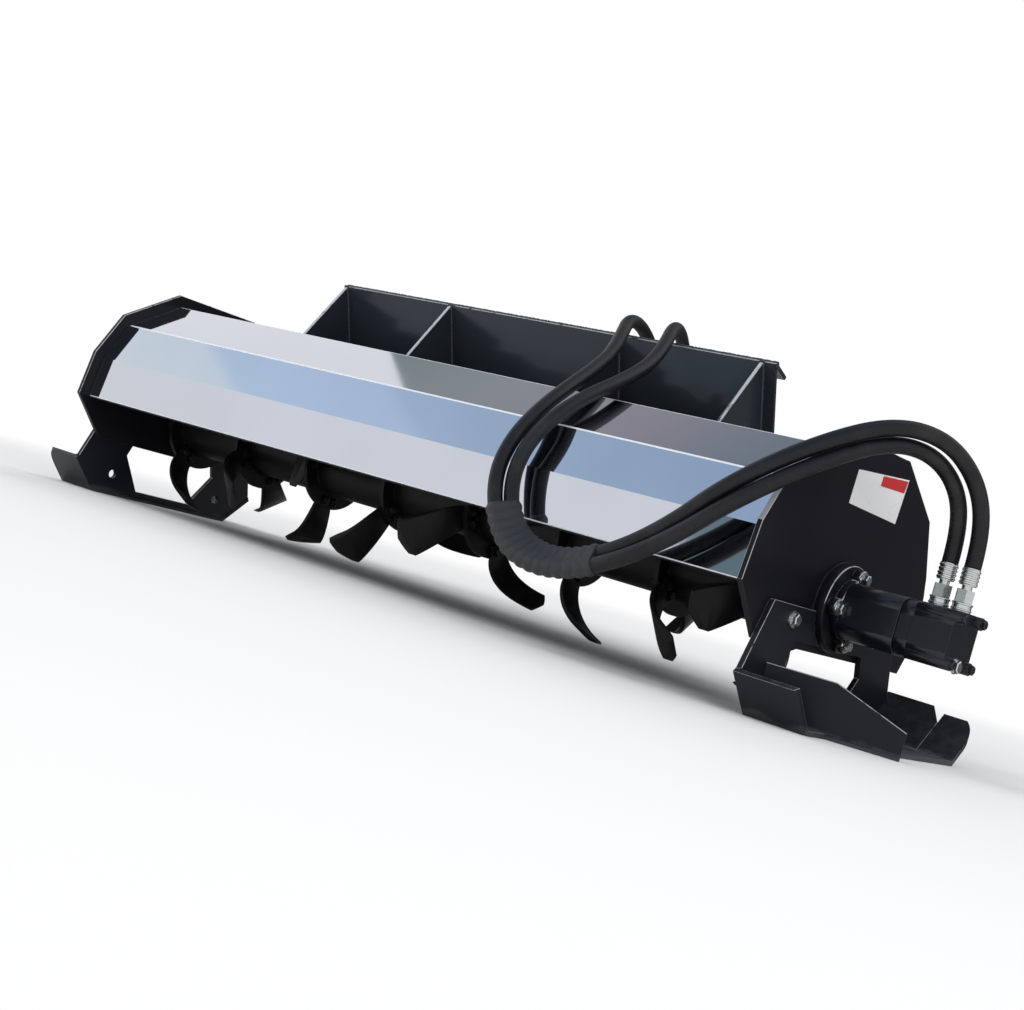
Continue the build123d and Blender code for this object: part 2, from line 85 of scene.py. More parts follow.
# columns: sides, foot radius, top radius, height, foot's place
Rows = tuple[tuple[Any, ...], ...]
Settings = Mapping[str, Any] | None
Sockets = Mapping[str | int, Any] | None


# ------------------------------------------------------------------ wiring
class Signal:
    """A number that runs through a node tree; Python's operators add Math nodes."""

    def __init__(self, wiring: Wiring, socket: NodeSocket) -> None:
        """Wrap an output socket of a tree."""
        self.wiring = wiring
        self.socket = socket

    def _math(self, operation: str, *values: Any) -> Signal:
        """Add one Math node.

        Args:
            operation: Blender's name of the operation.
            values: numbers or signals, in the node's order.

        Returns:
            The node's result.
        """
        sockets = dict(enumerate(values))
        return self.wiring.number("ShaderNodeMath", {"operation": operation}, sockets)

    def __add__(self, other: Any) -> Signal:
        """Sum."""
        return self._math("ADD", self, other)

    __radd__ = __add__

    def __sub__(self, other: Any) -> Signal:
        """Difference."""
        return self._math("SUBTRACT", self, other)

    def __rsub__(self, other: Any) -> Signal:
        """Difference, with the number first."""
        return self._math("SUBTRACT", other, self)

    def __mul__(self, other: Any) -> Signal:
        """Product."""
        return self._math("MULTIPLY", self, other)

    __rmul__ = __mul__

    def __gt__(self, other: Any) -> Signal:
        """1 where it is larger, else 0."""
        return self._math("GREATER_THAN", self, other)

    def sine(self) -> Signal:
        """Sine of it, in radians."""
        return self._math("SINE", self)

    def step(self, low: float, high: float) -> Signal:
        """A smooth change with the number.

        Args:
            low: where it is still 0; if it is the larger of the two, the change is a fall.
            high: where it has come to 1.

        Returns:
            The share, from 0 to 1.
        """
        sockets = {"Value": self, "From Min": low, "From Max": high}
        settings = {"interpolation_type": "SMOOTHSTEP"}
        return self.wiring.number("ShaderNodeMapRange", settings, sockets)


class Wiring:
    """One node tree while it is being wired."""

    def __init__(self, tree: NodeTree) -> None:
        """Start on an empty tree."""
        self.tree = tree
        tree.nodes.clear()

    def add(self, kind: str, settings: Settings = None, sockets: Sockets = None) -> Node:
        """Add a node.

        Args:
            kind: the node's type.
            settings: its properties, set first; "stops" fills a colour ramp.
            sockets: values, signals or sockets for its inputs, by name or number.

        Returns:
            The new node.
        """
        node = self.tree.nodes.new(kind)
        for name, value in (settings or {}).items():
            if name == "stops":
                self._fill_ramp(node.color_ramp, value)
            else:
                setattr(node, name, value)
        for name, value in (sockets or {}).items():
            self.feed(node.inputs[name], value)
        return node

    def feed(self, entry: NodeSocket, value: Any) -> None:
        """Link something to an input, or set the input's number.

        Args:
            entry: the input.
            value: a signal, a node, which gives its first output, a socket or a plain value.
        """
        if isinstance(value, Signal):
            value = value.socket
        if isinstance(value, Node):
            value = value.outputs[0]
        if isinstance(value, NodeSocket):
            self.tree.links.new(value, entry)
        else:
            entry.default_value = value

    def number(
        self, kind: str, settings: Settings = None, sockets: Sockets = None, output: str | int = 0
    ) -> Signal:
        """Add a node and give one of its outputs as a signal."""
        node = self.add(kind, settings, sockets)
        return Signal(self, node.outputs[output])

    def mix(self, share: Any, low: Any, high: Any) -> NodeSocket:
        """A colour between low, where the share is 0, and high, where it is 1."""
        sockets = {0: share, 6: solid(low), 7: solid(high)}
        return self.add("ShaderNodeMix", {"data_type": "RGBA"}, sockets).outputs[2]

    @staticmethod
    def _fill_ramp(ramp: ColorRamp, stops: Sequence[tuple[float, Colour]]) -> None:
        """Set a ramp's stops.

        Args:
            ramp: the ramp.
            stops: place and colour of each stop, in order.
        """
        while len(ramp.elements) < len(stops):
            ramp.elements.new(1.0)
        for element, (place, colour) in zip(ramp.elements, stops):
            element.position = place
            element.color = solid(colour)


def solid(colour: Any) -> Any:
    """An opaque colour from three numbers; anything else is given back as it is."""
    plain = isinstance(colour, tuple) and len(colour) == 3
    return (*colour, 1.0) if plain else colour


# ------------------------------------------------------------------ finishes
class Finish:
    """What all finishes share: a material with one Principled shader."""

    name: str

    def build(self) -> Material:
        """Make the material.

        Returns:
            The finished material.
        """
        material = bpy.data.materials.new(self.name)
        material.use_nodes = True
        wiring = Wiring(material.node_tree)
        shader = wiring.add("ShaderNodeBsdfPrincipled", sockets=self.dress(wiring))
        wiring.add("ShaderNodeOutputMaterial", sockets={"Surface": shader})
        return material

    def dress(self, wiring: Wiring) -> dict[str, Any]:
        """Wire the finish and give what goes into the shader's sockets."""
        raise NotImplementedError

    @staticmethod
    def place(wiring: Wiring, stretch: Point = (1.0, 1.0, 1.0)) -> NodeSocket:
        """Object coordinates, stretched along the axes."""
        where = wiring.add("ShaderNodeTexCoord").outputs["Object"]
        return wiring.add("ShaderNodeMapping", None, {0: where, "Scale": stretch}).outputs[0]

    @classmethod
    def cloud(
        cls, wiring: Wiring, scale: float, detail: float = 3.0, stretch: Point = (1.0, 1.0, 1.0)
    ) -> Signal:
        """Soft noise from 0 to 1; scale is in patches to the metre."""
        sockets = {"Vector": cls.place(wiring, stretch), "Scale": scale, "Detail": detail}
        return wiring.number("ShaderNodeTexNoise", None, sockets)

    @staticmethod
    def bump(wiring: Wiring, height: Signal, depth: float) -> Node:
        """A relief of that depth in metres, for a shader's normal."""
        sockets = {"Height": height, "Distance": depth, "Strength": 1.0}
        return wiring.add("ShaderNodeBump", sockets=sockets)

    @staticmethod
    def facing_up(wiring: Wiring) -> Signal:
        """How far a surface faces the sky, from -1 to 1."""
        normal = wiring.add("ShaderNodeTexCoord").outputs["Normal"]
        return wiring.number("ShaderNodeSeparateXYZ", None, {0: normal}, "Z")

    @classmethod
    def height(cls, wiring: Wiring) -> Signal:
        """Height above the ground in metres."""
        return wiring.number("ShaderNodeSeparateXYZ", None, {0: cls.place(wiring)}, "Z")


@dataclass(frozen=True)
class Enamel(Finish):
    """Sprayed enamel: orange peel, fine dust that settles, a few rub marks and bare chips that
    also paint a highlight where faces look up.
    """

    name: str
    colour: Colour
    roughness: float
    metallic: float = 0.0
    specular: float = 0.25
    coat: float = 0.0
    coat_roughness: float = 0.04
    peel: float = 0.00003
    dust: float = 0.15
    smear: float = 0.05
    uneven: float = 0.14
    rubbed: float = 0.0
    dust_colour: Colour = (0.32, 0.31, 0.29)
    rub_colour: Colour = (0.30, 0.30, 0.31)
    rub_height: float = 0.03
    # bare steel chips on faces that look up, which also paint a highlight there: a pale, more
    # metallic colour
    bare_and_highlight: float = 0.0
    bare_and_highlight_from: float = 0.43
    bare_and_highlight_colour: Colour = (0.62, 0.65, 0.68)
    # spots to the metre
    patch_scale: float = 5.0
    grit_scale: float = 60.0
    streak_scale: float = 24.0
    peel_scale: float = 260.0
    streak_stretch: Point = (1.0, 0.35, 1.0)
    # how much patches and grit make up the dust's noise, and streaks and lowness the rub marks'
    dust_parts: Span = (0.6, 0.4)
    rub_parts: Span = (0.7, 0.5)
    # from none to full, by how far a face looks up or by the level of the noise
    dust_slope: Span = (0.2, 0.95)
    dust_noise: Span = (0.35, 0.75)
    fade_noise: Span = (0.3, 0.7)
    rub_noise: Span = (0.62, 0.80)
    chip_noise: Span = (0.30, 0.45)
    bare_and_highlight_slope: float = 0.04
    # what dust and rub marks add to the roughness, and bare steel with its painted highlight to
    # the metal
    dust_dull: float = 0.6
    rub_dull: float = 0.2
    bare_and_highlight_metal: float = 0.4

    def dress(self, wiring: Wiring) -> dict[str, Any]:
        """Wire colour, dust, rub marks, bare steel with a painted highlight on faces that look
        up, and orange peel.

        Args:
            wiring: the material's tree.

        Returns:
            What goes into the shader's sockets.
        """
        patches = self.cloud(wiring, self.patch_scale)
        grit = self.cloud(wiring, self.grit_scale, 6.0)
        lying = patches * self.dust_parts[0] + grit * self.dust_parts[1]
        lying = lying.step(*self.dust_noise)
        settled = self.facing_up(wiring).step(*self.dust_slope) * lying
        faded = tuple((1.0 - self.uneven) * c for c in self.colour)
        shade = wiring.mix(patches.step(*self.fade_noise), faded, self.colour)
        colour = wiring.mix(settled * self.dust, shade, self.dust_colour)
        rough = self.roughness + patches * self.smear + settled * self.dust * self.dust_dull
        metal = self.metallic
        if self.rubbed:
            low = self.height(wiring).step(self.rub_height, 0.0)
            streaks = self.cloud(wiring, self.streak_scale, 5.0, self.streak_stretch)
            mark = streaks * self.rub_parts[0] + low * self.rub_parts[1]
            mark = mark.step(*self.rub_noise) * self.rubbed
            colour = wiring.mix(mark, colour, self.rub_colour)
            rough = rough + mark * self.rub_dull
        # painted highlight: faces that look up turn pale and metallic, broken into chips of bare
        # steel by the grit
        if self.bare_and_highlight:
            facing = self.facing_up(wiring).step(self.bare_and_highlight_from, self.bare_and_highlight_from + self.bare_and_highlight_slope)
            edge = facing * (grit.step(*self.chip_noise) * self.bare_and_highlight)
            colour = wiring.mix(edge, colour, self.bare_and_highlight_colour)
            metal = edge * self.bare_and_highlight_metal + self.metallic
        sockets = {
            "Base Color": colour,
            "Roughness": rough,
            "Metallic": metal,
            "Specular IOR Level": self.specular,
            "Coat Weight": self.coat,
            "Coat Roughness": self.coat_roughness,
        }
        if self.peel:
            peel = self.cloud(wiring, self.peel_scale, 1.0)
            sockets["Normal"] = self.bump(wiring, peel, self.peel)
        return sockets


@dataclass(frozen=True)
class Steel(Finish):
    """Bare or plated steel: brushed or rolled, with stains."""

    name: str
    colour: Colour
    roughness: float
    metallic: float = 1.0
    stain: Colour = (0.20, 0.17, 0.14)
    stained: float = 0.15
    relief: float = 0.00002
    grain: Point = (1.0, 1.0, 1.0)
    # spots to the metre
    grain_scale: float = 160.0
    stain_scale: float = 9.0
    # from none to full, by the level of the noise
    stain_noise: Span = (0.52, 0.75)
    # what grain and stains add to the roughness, and stains take from the metal
    grain_dull: float = 0.12
    stain_dull: float = 0.5
    stain_metal: float = 0.6

    def dress(self, wiring: Wiring) -> dict[str, Any]:
        """Wire colour, stains and grain.

        Args:
            wiring: the material's tree.

        Returns:
            What goes into the shader's sockets.
        """
        patches = self.cloud(wiring, self.stain_scale, 5.0)
        grain = self.cloud(wiring, self.grain_scale, 4.0, self.grain)
        mark = patches.step(*self.stain_noise) * self.stained
        return {
            "Base Color": wiring.mix(mark, self.colour, self.stain),
            "Roughness": self.roughness + grain * self.grain_dull + mark * self.stain_dull,
            "Metallic": self.metallic - mark * self.stain_metal,
            "Normal": self.bump(wiring, grain, self.relief),
        }


@dataclass(frozen=True)
class Rubber(Finish):
    """Hose cover: black rubber with the cloth print of its wrap."""

    name: str
    colour: Colour
    roughness: float
    specular: float = 0.3
    print_depth: float = 0.0001
    print_pitch: float = 0.004
    dust: float = 0.2
    dust_dull: float = 0.15
    dust_scale: float = 14.0
    dust_noise: Span = (0.45, 0.8)
    dust_colour: Colour = (0.075, 0.073, 0.07)

    def dress(self, wiring: Wiring) -> dict[str, Any]:
        """Wire the wrap's print, which follows the hose's own length.

        Args:
            wiring: the material's tree.

        Returns:
            What goes into the shader's sockets.
        """
        run = wiring.add("ShaderNodeUVMap", {"uv_map": "wrap"})
        split = wiring.add("ShaderNodeSeparateXYZ", sockets={0: run})
        along, around = (Signal(wiring, split.outputs[name]) for name in "XY")
        dust = self.cloud(wiring, self.dust_scale, 5.0)
        share = dust.step(*self.dust_noise) * self.dust
        weave = (along * (math.tau / self.print_pitch) + around * math.tau).sine()
        return {
            "Base Color": wiring.mix(share, self.colour, self.dust_colour),
            "Roughness": self.roughness + dust * self.dust_dull,
            "Specular IOR Level": self.specular,
            "Normal": self.bump(wiring, weave, self.print_depth),
        }


@dataclass(frozen=True)
class Decal(Finish):
    """A printed film: one colour, a soft gloss and slight scuffs."""

    name: str
    colour: Colour
    roughness: float = 0.32
    scuff_scale: float = 90.0
    scuff_stretch: Point = (1.0, 0.3, 1.0)
    scuff_noise: Span = (0.56, 0.72)
    scuff_shade: float = 0.93
    scuff_dull: float = 0.2

    def dress(self, wiring: Wiring) -> dict[str, Any]:
        """Wire the film's colour and its scuffs.

        Args:
            wiring: the material's tree.

        Returns:
            What goes into the shader's sockets.
        """
        cloud = self.cloud(wiring, self.scuff_scale, 4.0, self.scuff_stretch)
        scuffs = cloud.step(*self.scuff_noise)
        dull = tuple(self.scuff_shade * c for c in self.colour)
        return {
            "Base Color": wiring.mix(scuffs, self.colour, dull),
            "Roughness": self.roughness + scuffs * self.scuff_dull,
        }


class Shop(Enum):
    """The finishes that the machine is dressed in."""

    HOOD = Enamel(
        "hood enamel", (0.60, 0.63, 0.69), 0.03, metallic=1.0, specular=0.5, coat=0.3,
        peel=0.0, dust=0.03, smear=0.01, uneven=0.04,
    )
    BLACK = Enamel("black enamel", (0.008, 0.008, 0.011), 0.34, specular=0.2)
    # its faces that look up get the pale painted highlight with bare chips
    END = Enamel(
        "end plate enamel", (0.007, 0.007, 0.010), 0.34, specular=0.2,
        dust=0.05, bare_and_highlight=0.7, bare_and_highlight_from=0.30,
    )
    FRAME = Enamel("frame enamel", (0.022, 0.028, 0.036), 0.20, specular=0.45, coat=0.25)
    # the gussets' faces that look up get the pale painted highlight with bare chips
    GUSSET = replace(FRAME, name="gusset enamel", bare_and_highlight=0.9)
    SHOE = Enamel("shoe enamel", (0.010, 0.011, 0.015), 0.34, specular=0.2, rubbed=0.14)
    MOTOR = Enamel(
        "motor enamel", (0.007, 0.008, 0.012), 0.26, specular=0.3, coat=0.35, dust=0.05
    )
    ROTOR = Enamel("rotor enamel", (0.006, 0.006, 0.007), 0.42, specular=0.2, dust=0.1)
    TINE = Enamel(
        "tine enamel", (0.007, 0.007, 0.008), 0.38, specular=0.2,
        dust=0.05, rubbed=0.2, rub_height=0.04,
    )
    IRON = Steel("cast bearing iron", (0.10, 0.105, 0.115), 0.45, metallic=0.6, relief=0.00025)
    SHAFT = Steel("turned shaft", (0.50, 0.50, 0.51), 0.25, grain=(12.0, 1.0, 1.0))
    ZINC = Steel(
        "zinc plate", (0.58, 0.60, 0.59), 0.20, stain=(0.28, 0.27, 0.24), stained=0.4
    )
    # edges: worn paint with a painted highlight, pale grey wherever a break faces up, broken into
    # chips
    EDGE_WEAR_AND_HIGHLIGHT = Enamel(
        "worn and highlighted edge", (0.010, 0.010, 0.012), 0.34, specular=0.25,
        dust=0.0, bare_and_highlight=1.0, bare_and_highlight_from=0.05, bare_and_highlight_colour=(0.46, 0.47, 0.49),
    )
    # painted highlight: a near-white, bluish band along the hood's folds
    FOLD_HIGHLIGHT = Steel("painted fold highlight", (0.84, 0.86, 0.90), 0.40, metallic=0.3, stained=0.05)
    HOSE = Rubber("hose cover", (0.006, 0.006, 0.008), 0.34)
    SLEEVE = Rubber(
        "hose sleeve", (0.016, 0.017, 0.020), 0.38, specular=0.6,
        print_depth=0.0002, print_pitch=0.002,
    )
    PAPER = Decal("white film", (0.92, 0.92, 0.91))
    RED = Decal("red film", (0.62, 0.03, 0.03))


class Shelf:
    """Keeps each finish's material, made once."""

    def __init__(self) -> None:
        """Start empty."""
        self.made: dict[Shop, Material] = {}

    def take(self, finish: Shop) -> Material:
        """The finish's material, made when it is first asked for.

        Args:
            finish: one of the shop's finishes.

        Returns:
            Its material.
        """
        if finish not in self.made:
            self.made[finish] = finish.value.build()
        return self.made[finish]


# ------------------------------------------------------------------ workshop
@dataclass
class Workshop:
    """The loaded frame and the tools that every sub-assembly uses."""

    frame: dict[str, Any]
    shelf: Shelf = field(default_factory=Shelf)
    merge: float = 0.00002
    flat_angle: float = math.radians(1.0)
    seam_angle: float = math.radians(40.0)
    seam_reach: float = 0.0005
    seam_step: float = 0.006

    @property
    def axis(self) -> Vector:
        """A point on the rotor's axis."""
        return Vector(self.frame["joints"][0]["pos_m"])

    def paint(self, finish: Shop, *nodes: str) -> None:
        """Give CAD nodes a finish.

        Args:
            finish: one of the shop's finishes.
            nodes: the CAD nodes' names.
        """
        for node in nodes:
            mesh = self.frame["nodes"][node].data
            mesh.materials.clear()
            mesh.materials.append(self.shelf.take(finish))

    def soften(
        self, radius: float, *nodes: str, edge_finish: Shop | None = Shop.EDGE_WEAR_AND_HIGHLIGHT, sharp: float = 35.0
    ) -> None:
        """Break the sharp edges of plates, which lose their paint first; the usual edge finish
        also paints a highlight on the breaks that face up.

        Args:
            radius: width of the broken edge in metres.
            nodes: CAD nodes with flat faces.
            edge_finish: the finish of the edges; none leaves them as the faces are.
            sharp: the least turn of a fold that is broken, in degrees.
        """
        for node in nodes:
            item = self.frame["nodes"][node]
            join = item.modifiers.new("join", "WELD")
            join.merge_threshold = self.merge
            flat = item.modifiers.new("flatten", "DECIMATE")
            flat.decimate_type = "DISSOLVE"
            flat.angle_limit = self.flat_angle
            bevel = item.modifiers.new("edge", "BEVEL")
            bevel.width = radius
            bevel.segments = 2
            bevel.limit_method = "ANGLE"
            bevel.angle_limit = math.radians(sharp)
            bevel.harden_normals = True
            # the breaks get the edge finish: worn paint with a painted highlight where they face
            # up, or the painted fold highlight
            if edge_finish:
                item.data.materials.append(self.shelf.take(edge_finish))
                bevel.material = len(item.data.materials) - 1

    def seams(self, first: str, second: str) -> list[Line]:
        """Where the sharp edges of one node lie on another node.

        Args:
            first: the node whose edges are followed.
            second: the node that they lie on.

        Returns:
            Short lines along the seam.
        """
        work = bmesh.new()
        work.from_mesh(self.frame["nodes"][second].data)
        other = BVHTree.FromBMesh(work)
        work.clear()
        work.from_mesh(self.frame["nodes"][first].data)
        bmesh.ops.remove_doubles(work, verts=work.verts, dist=self.merge)
        lines = []
        for edge in work.edges:
            if len(edge.link_faces) == 2 and edge.calc_face_angle(0.0) < self.seam_angle:
                continue
            start, end = (corner.co.copy() for corner in edge.verts)
            count = max(1, round((end - start).length / self.seam_step))
            stops = [start.lerp(end, number / count) for number in range(count + 1)]
            near = [other.find_nearest(stop, self.seam_reach)[0] is not None for stop in stops]
            for number in range(count):
                if near[number] and near[number + 1]:
                    lines.append((stops[number], stops[number + 1]))
        work.free()
        return lines

    def weld(
        self,
        name: str,
        body: str,
        finish: Shop,
        *pairs: tuple[str, str],
        beads: WeldBeads | None = None,
        inner: float = 0.0,
    ) -> None:
        """Lay beads wherever the plates of each pair meet.

        Args:
            name: the new piece's name.
            body: the CAD body that it moves with.
            finish: the paint over the beads.
            pairs: two nodes each, the one with the edges first.
            beads: their sizes; none takes the usual ones.
            inner: how far from the machine's middle plane the beads start.
        """
        lines = [line for pair in pairs for line in self.seams(*pair)]
        lines = [line for line in lines if min(abs(corner.x) for corner in line) >= inner]
        mesh = (beads or WeldBeads()).cast(lines, self.shelf.take(finish))
        self.piece(name, mesh, body, "frame_paint")

    def bolt(
        self, name: str, body: str, bolts: Sequence[Bolt], shape: Turned, finish: Shop = Shop.ZINC
    ) -> None:
        """Fit bolts, nuts or rings of one size as one piece.

        Args:
            name: the new piece's name.
            body: the CAD body that it moves with.
            bolts: where they sit.
            shape: their form and sizes.
            finish: plating, or the paint over them.
        """
        slot = "zinc" if finish is Shop.ZINC else "frame_paint"
        self.piece(name, shape.cast(bolts, self.shelf.take(finish)), body, slot)

    def piece(self, name: str, mesh: Mesh, body: str, slot: str, *finishes: Shop) -> Object:
        """Put a finished mesh on the machine.

        Args:
            name: the piece's name.
            mesh: its mesh, in the machine's frame.
            body: the CAD body that it moves with.
            slot: the record's material slot; not used.
            finishes: its materials in order; none keeps the mesh's own.

        Returns:
            The new object.
        """
        item = bpy.data.objects.new(name, mesh)
        bpy.context.scene.collection.objects.link(item)
        for finish in finishes:
            mesh.materials.append(self.shelf.take(finish))
        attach(item, body)
        LOG.info("%s: %d faces on %s", name, len(mesh.polygons), body)
        return item


# ------------------------------------------------------------------ geometry trees
class Pattern:
    """A Geometry Nodes tree with named inputs, made anew for each piece; the object that runs it
    is removed afterwards.
    """

    def __init__(self, name: str, sizes: Mapping[str, float], finish: Material) -> None:
        """Open a tree.

        Args:
            name: the tree's name.
            sizes: its named inputs and their values.
            finish: the material that it ends in.
        """
        self.name = name
        self.sizes = dict(sizes)
        self.tree = bpy.data.node_groups.new(name, "GeometryNodeTree")
        self.wiring = Wiring(self.tree)
        ports = self.tree.interface
        ports.new_socket("Geometry", in_out="INPUT", socket_type="NodeSocketGeometry")
        for size in self.sizes:
            ports.new_socket(size, in_out="INPUT", socket_type="NodeSocketFloat")
        ports.new_socket("Geometry", in_out="OUTPUT", socket_type="NodeSocketGeometry")
        self.entry = self.wiring.add("NodeGroupInput")
        self.finish = finish

    def size(self, name: str) -> Signal:
        """One of the tree's named sizes."""
        return Signal(self.wiring, self.entry.outputs[name])

    def close(self, shape: Node) -> None:
        """Realize the instances, set their material and end the tree.

        Args:
            shape: the node that makes the instances.
        """
        real = self.wiring.add("GeometryNodeRealizeInstances", sockets={0: shape})
        sockets = {0: real, "Material": self.finish}
        dressed = self.wiring.add("GeometryNodeSetMaterial", sockets=sockets)
        self.wiring.add("NodeGroupOutput", sockets={0: dressed})

    def cast(self, seed: Mesh) -> Mesh:
        """Run the tree on a seed mesh.

        Args:
            seed: points or edges that carry the pattern.

        Returns:
            A plain mesh of everything that the tree made.
        """
        holder = bpy.data.objects.new(self.name, seed)
        bpy.context.scene.collection.objects.link(holder)
        modifier = holder.modifiers.new(self.name, "NODES")
        modifier.node_group = self.tree
        for port in self.tree.interface.items_tree:
            if port.in_out == "INPUT" and port.name in self.sizes:
                modifier[port.identifier] = float(self.sizes[port.name])
        graph = bpy.context.evaluated_depsgraph_get()
        result = bpy.data.meshes.new_from_object(holder.evaluated_get(graph))
        holder.modifiers.remove(modifier)
        bpy.data.objects.remove(holder)
        return result


@dataclass(frozen=True)
class Bolt:
    """Where a bolt's head sits and which way it points."""

    place: Vector
    axis: Vector
    spin: float = 0.0


@dataclass(frozen=True)
class Turned:
    """Small parts made of cones that stand on each other, set on every point of a seed."""

    def cast(self, bolts: Sequence[Bolt], finish: Material) -> Mesh:
        """Make all the parts of one body as one mesh.

        Args:
            bolts: the parts' places.
            finish: their material.

        Returns:
            The joined mesh.
        """
        pattern = Pattern("turned parts", asdict(self), finish)
        self._wire(pattern, self._rows(*map(pattern.size, pattern.sizes)))
        seed = bpy.data.meshes.new("places")
        seed.from_pydata([tuple(bolt.place) for bolt in bolts], [], [])
        turns = seed.attributes.new("turn", "QUATERNION", "POINT")
        for bolt, value in zip(bolts, turns.data):
            turn = bolt.axis.to_track_quat("Z", "Y") @ Quaternion((0, 0, 1), bolt.spin)
            value.value = tuple(turn)
        return pattern.cast(seed)

    @staticmethod
    def _rows(*sizes: Signal) -> Rows:
        """The cones of one part."""
        raise NotImplementedError

    @staticmethod
    def _wire(pattern: Pattern, rows: Rows) -> None:
        """Wire one part of stacked cones and set it on every point.

        Args:
            pattern: the tree.
            rows: the part's cones.
        """
        wiring = pattern.wiring
        joined = wiring.add("GeometryNodeJoinGeometry")
        for sides, foot, crown, height, place in rows:
            sockets = {
                "Vertices": sides, "Radius Top": crown, "Radius Bottom": foot, "Depth": height
            }
            cone = wiring.add("GeometryNodeMeshCone", None, sockets)
            lift = wiring.add("ShaderNodeCombineXYZ", sockets={"Z": place})
            moved = wiring.add("GeometryNodeTransform", sockets={0: cone, "Translation": lift})
            wiring.tree.links.new(moved.outputs[0], joined.inputs[0])
        turn = wiring.add(
            "GeometryNodeInputNamedAttribute", {"data_type": "QUATERNION"}, {"Name": "turn"}
        ).outputs[0]
        sockets = {"Points": pattern.entry.outputs[0], "Instance": joined, "Rotation": turn}
        pattern.close(wiring.add("GeometryNodeInstanceOnPoints", sockets=sockets))


@dataclass(frozen=True)
class HexBolts(Turned):
    """Hexagon heads with washers, or nuts with the bolt's end through them."""

    head: float = 0.009
    tall: float = 0.007
    washer: float = 0.0125
    washer_tall: float = 0.002
    stud: float = 0.006
    stud_tall: float = 0.0

    @staticmethod
    def _rows(*sizes: Signal) -> Rows:
        """The cones of one bolt.

        Args:
            sizes: the tree's inputs, in the order of the fields.

        Returns:
            Washer, head, chamfer and stud.
        """
        head, tall, washer, base, stud, top = sizes
        return (
            (20, washer, washer * 0.96, base, 0.0),
            (6, head, head, tall * 0.82, base),
            (6, head, head * 0.82, tall * 0.18, base + tall * 0.82),
            (12, stud, stud * 0.9, top + tall * 0.9, base),
        )


@dataclass(frozen=True)
class CrimpBands(Turned):
    """Raised bands that a crimping die leaves round a hose end."""

    band: float = 0.0146
    band_tall: float = 0.0042

    @staticmethod
    def _rows(*sizes: Signal) -> Rows:
        """The cones of one band.

        Args:
            sizes: the tree's inputs, in the order of the fields.

        Returns:
            Rise, crest and fall.
        """
        band, tall = sizes
        return (
            (28, band * 0.93, band, tall * 0.25, 0.0),
            (28, band, band, tall * 0.5, tall * 0.25),
            (28, band, band * 0.93, tall * 0.25, tall * 0.75),
        )


@dataclass(frozen=True)
class WeldBeads:
    """Fillet welds: overlapping ripples laid along lines."""

    radius: float = 0.0032
    pitch: float = 0.0034
    shortest: float = 0.025
    join: float = 0.0002
    uneven: float = 0.15
    seed: int = 7

    def cast(self, lines: Iterable[Line], finish: Material) -> Mesh:
        """Lay beads along lines.

        Args:
            lines: short lines that follow the welds.
            finish: the beads' material.

        Returns:
            All the beads as one mesh.
        """
        pattern = Pattern("weld beads", {"Radius": self.radius, "Pitch": self.pitch}, finish)
        self._wire(pattern)
        work = bmesh.new()
        for line in lines:
            work.edges.new([work.verts.new(corner) for corner in line])
        bmesh.ops.remove_doubles(work, verts=work.verts, dist=self.join)
        self._drop_short(work)
        seed = bpy.data.meshes.new("weld lines")
        work.to_mesh(seed)
        work.free()
        return pattern.cast(seed)

    def _drop_short(self, work: bmesh.types.BMesh) -> None:
        """Take out the runs that are too short for a weld.

        Args:
            work: the lines, joined where they meet.
        """
        left = set(work.verts)
        while left:
            run, ends = [], [left.pop()]
            while ends:
                spot = ends.pop()
                run.append(spot)
                near = {edge.other_vert(spot) for edge in spot.link_edges} & left
                left -= near
                ends += near
            if max((one.co - two.co).length for one in run for two in run) < self.shortest:
                bmesh.ops.delete(work, geom=run, context="VERTS")

    def _wire(self, pattern: Pattern) -> None:
        """Wire lines to beads of slightly different sizes.

        Args:
            pattern: the tree.
        """
        wiring = pattern.wiring
        curve = wiring.add("GeometryNodeMeshToCurve", sockets={0: pattern.entry.outputs[0]})
        sockets = {0: curve, "Length": pattern.size("Pitch")}
        spread = wiring.add("GeometryNodeResampleCurve", {"mode": "LENGTH"}, sockets)
        tangent = wiring.add("GeometryNodeInputTangent")
        turn = wiring.add("FunctionNodeAlignRotationToVector", {"axis": "X"}, {"Vector": tangent})
        sockets = {"Radius": pattern.size("Radius"), "Subdivisions": 1}
        bead = wiring.add("GeometryNodeMeshIcoSphere", None, sockets)
        sockets = {"Min": 1.0 - self.uneven, "Max": 1.0 + self.uneven, "Seed": self.seed}
        size = wiring.number("FunctionNodeRandomValue", {"data_type": "FLOAT"}, sockets, 1)
        sockets = {"Points": spread, "Instance": bead, "Rotation": turn, "Scale": size}
        pattern.close(wiring.add("GeometryNodeInstanceOnPoints", sockets=sockets))


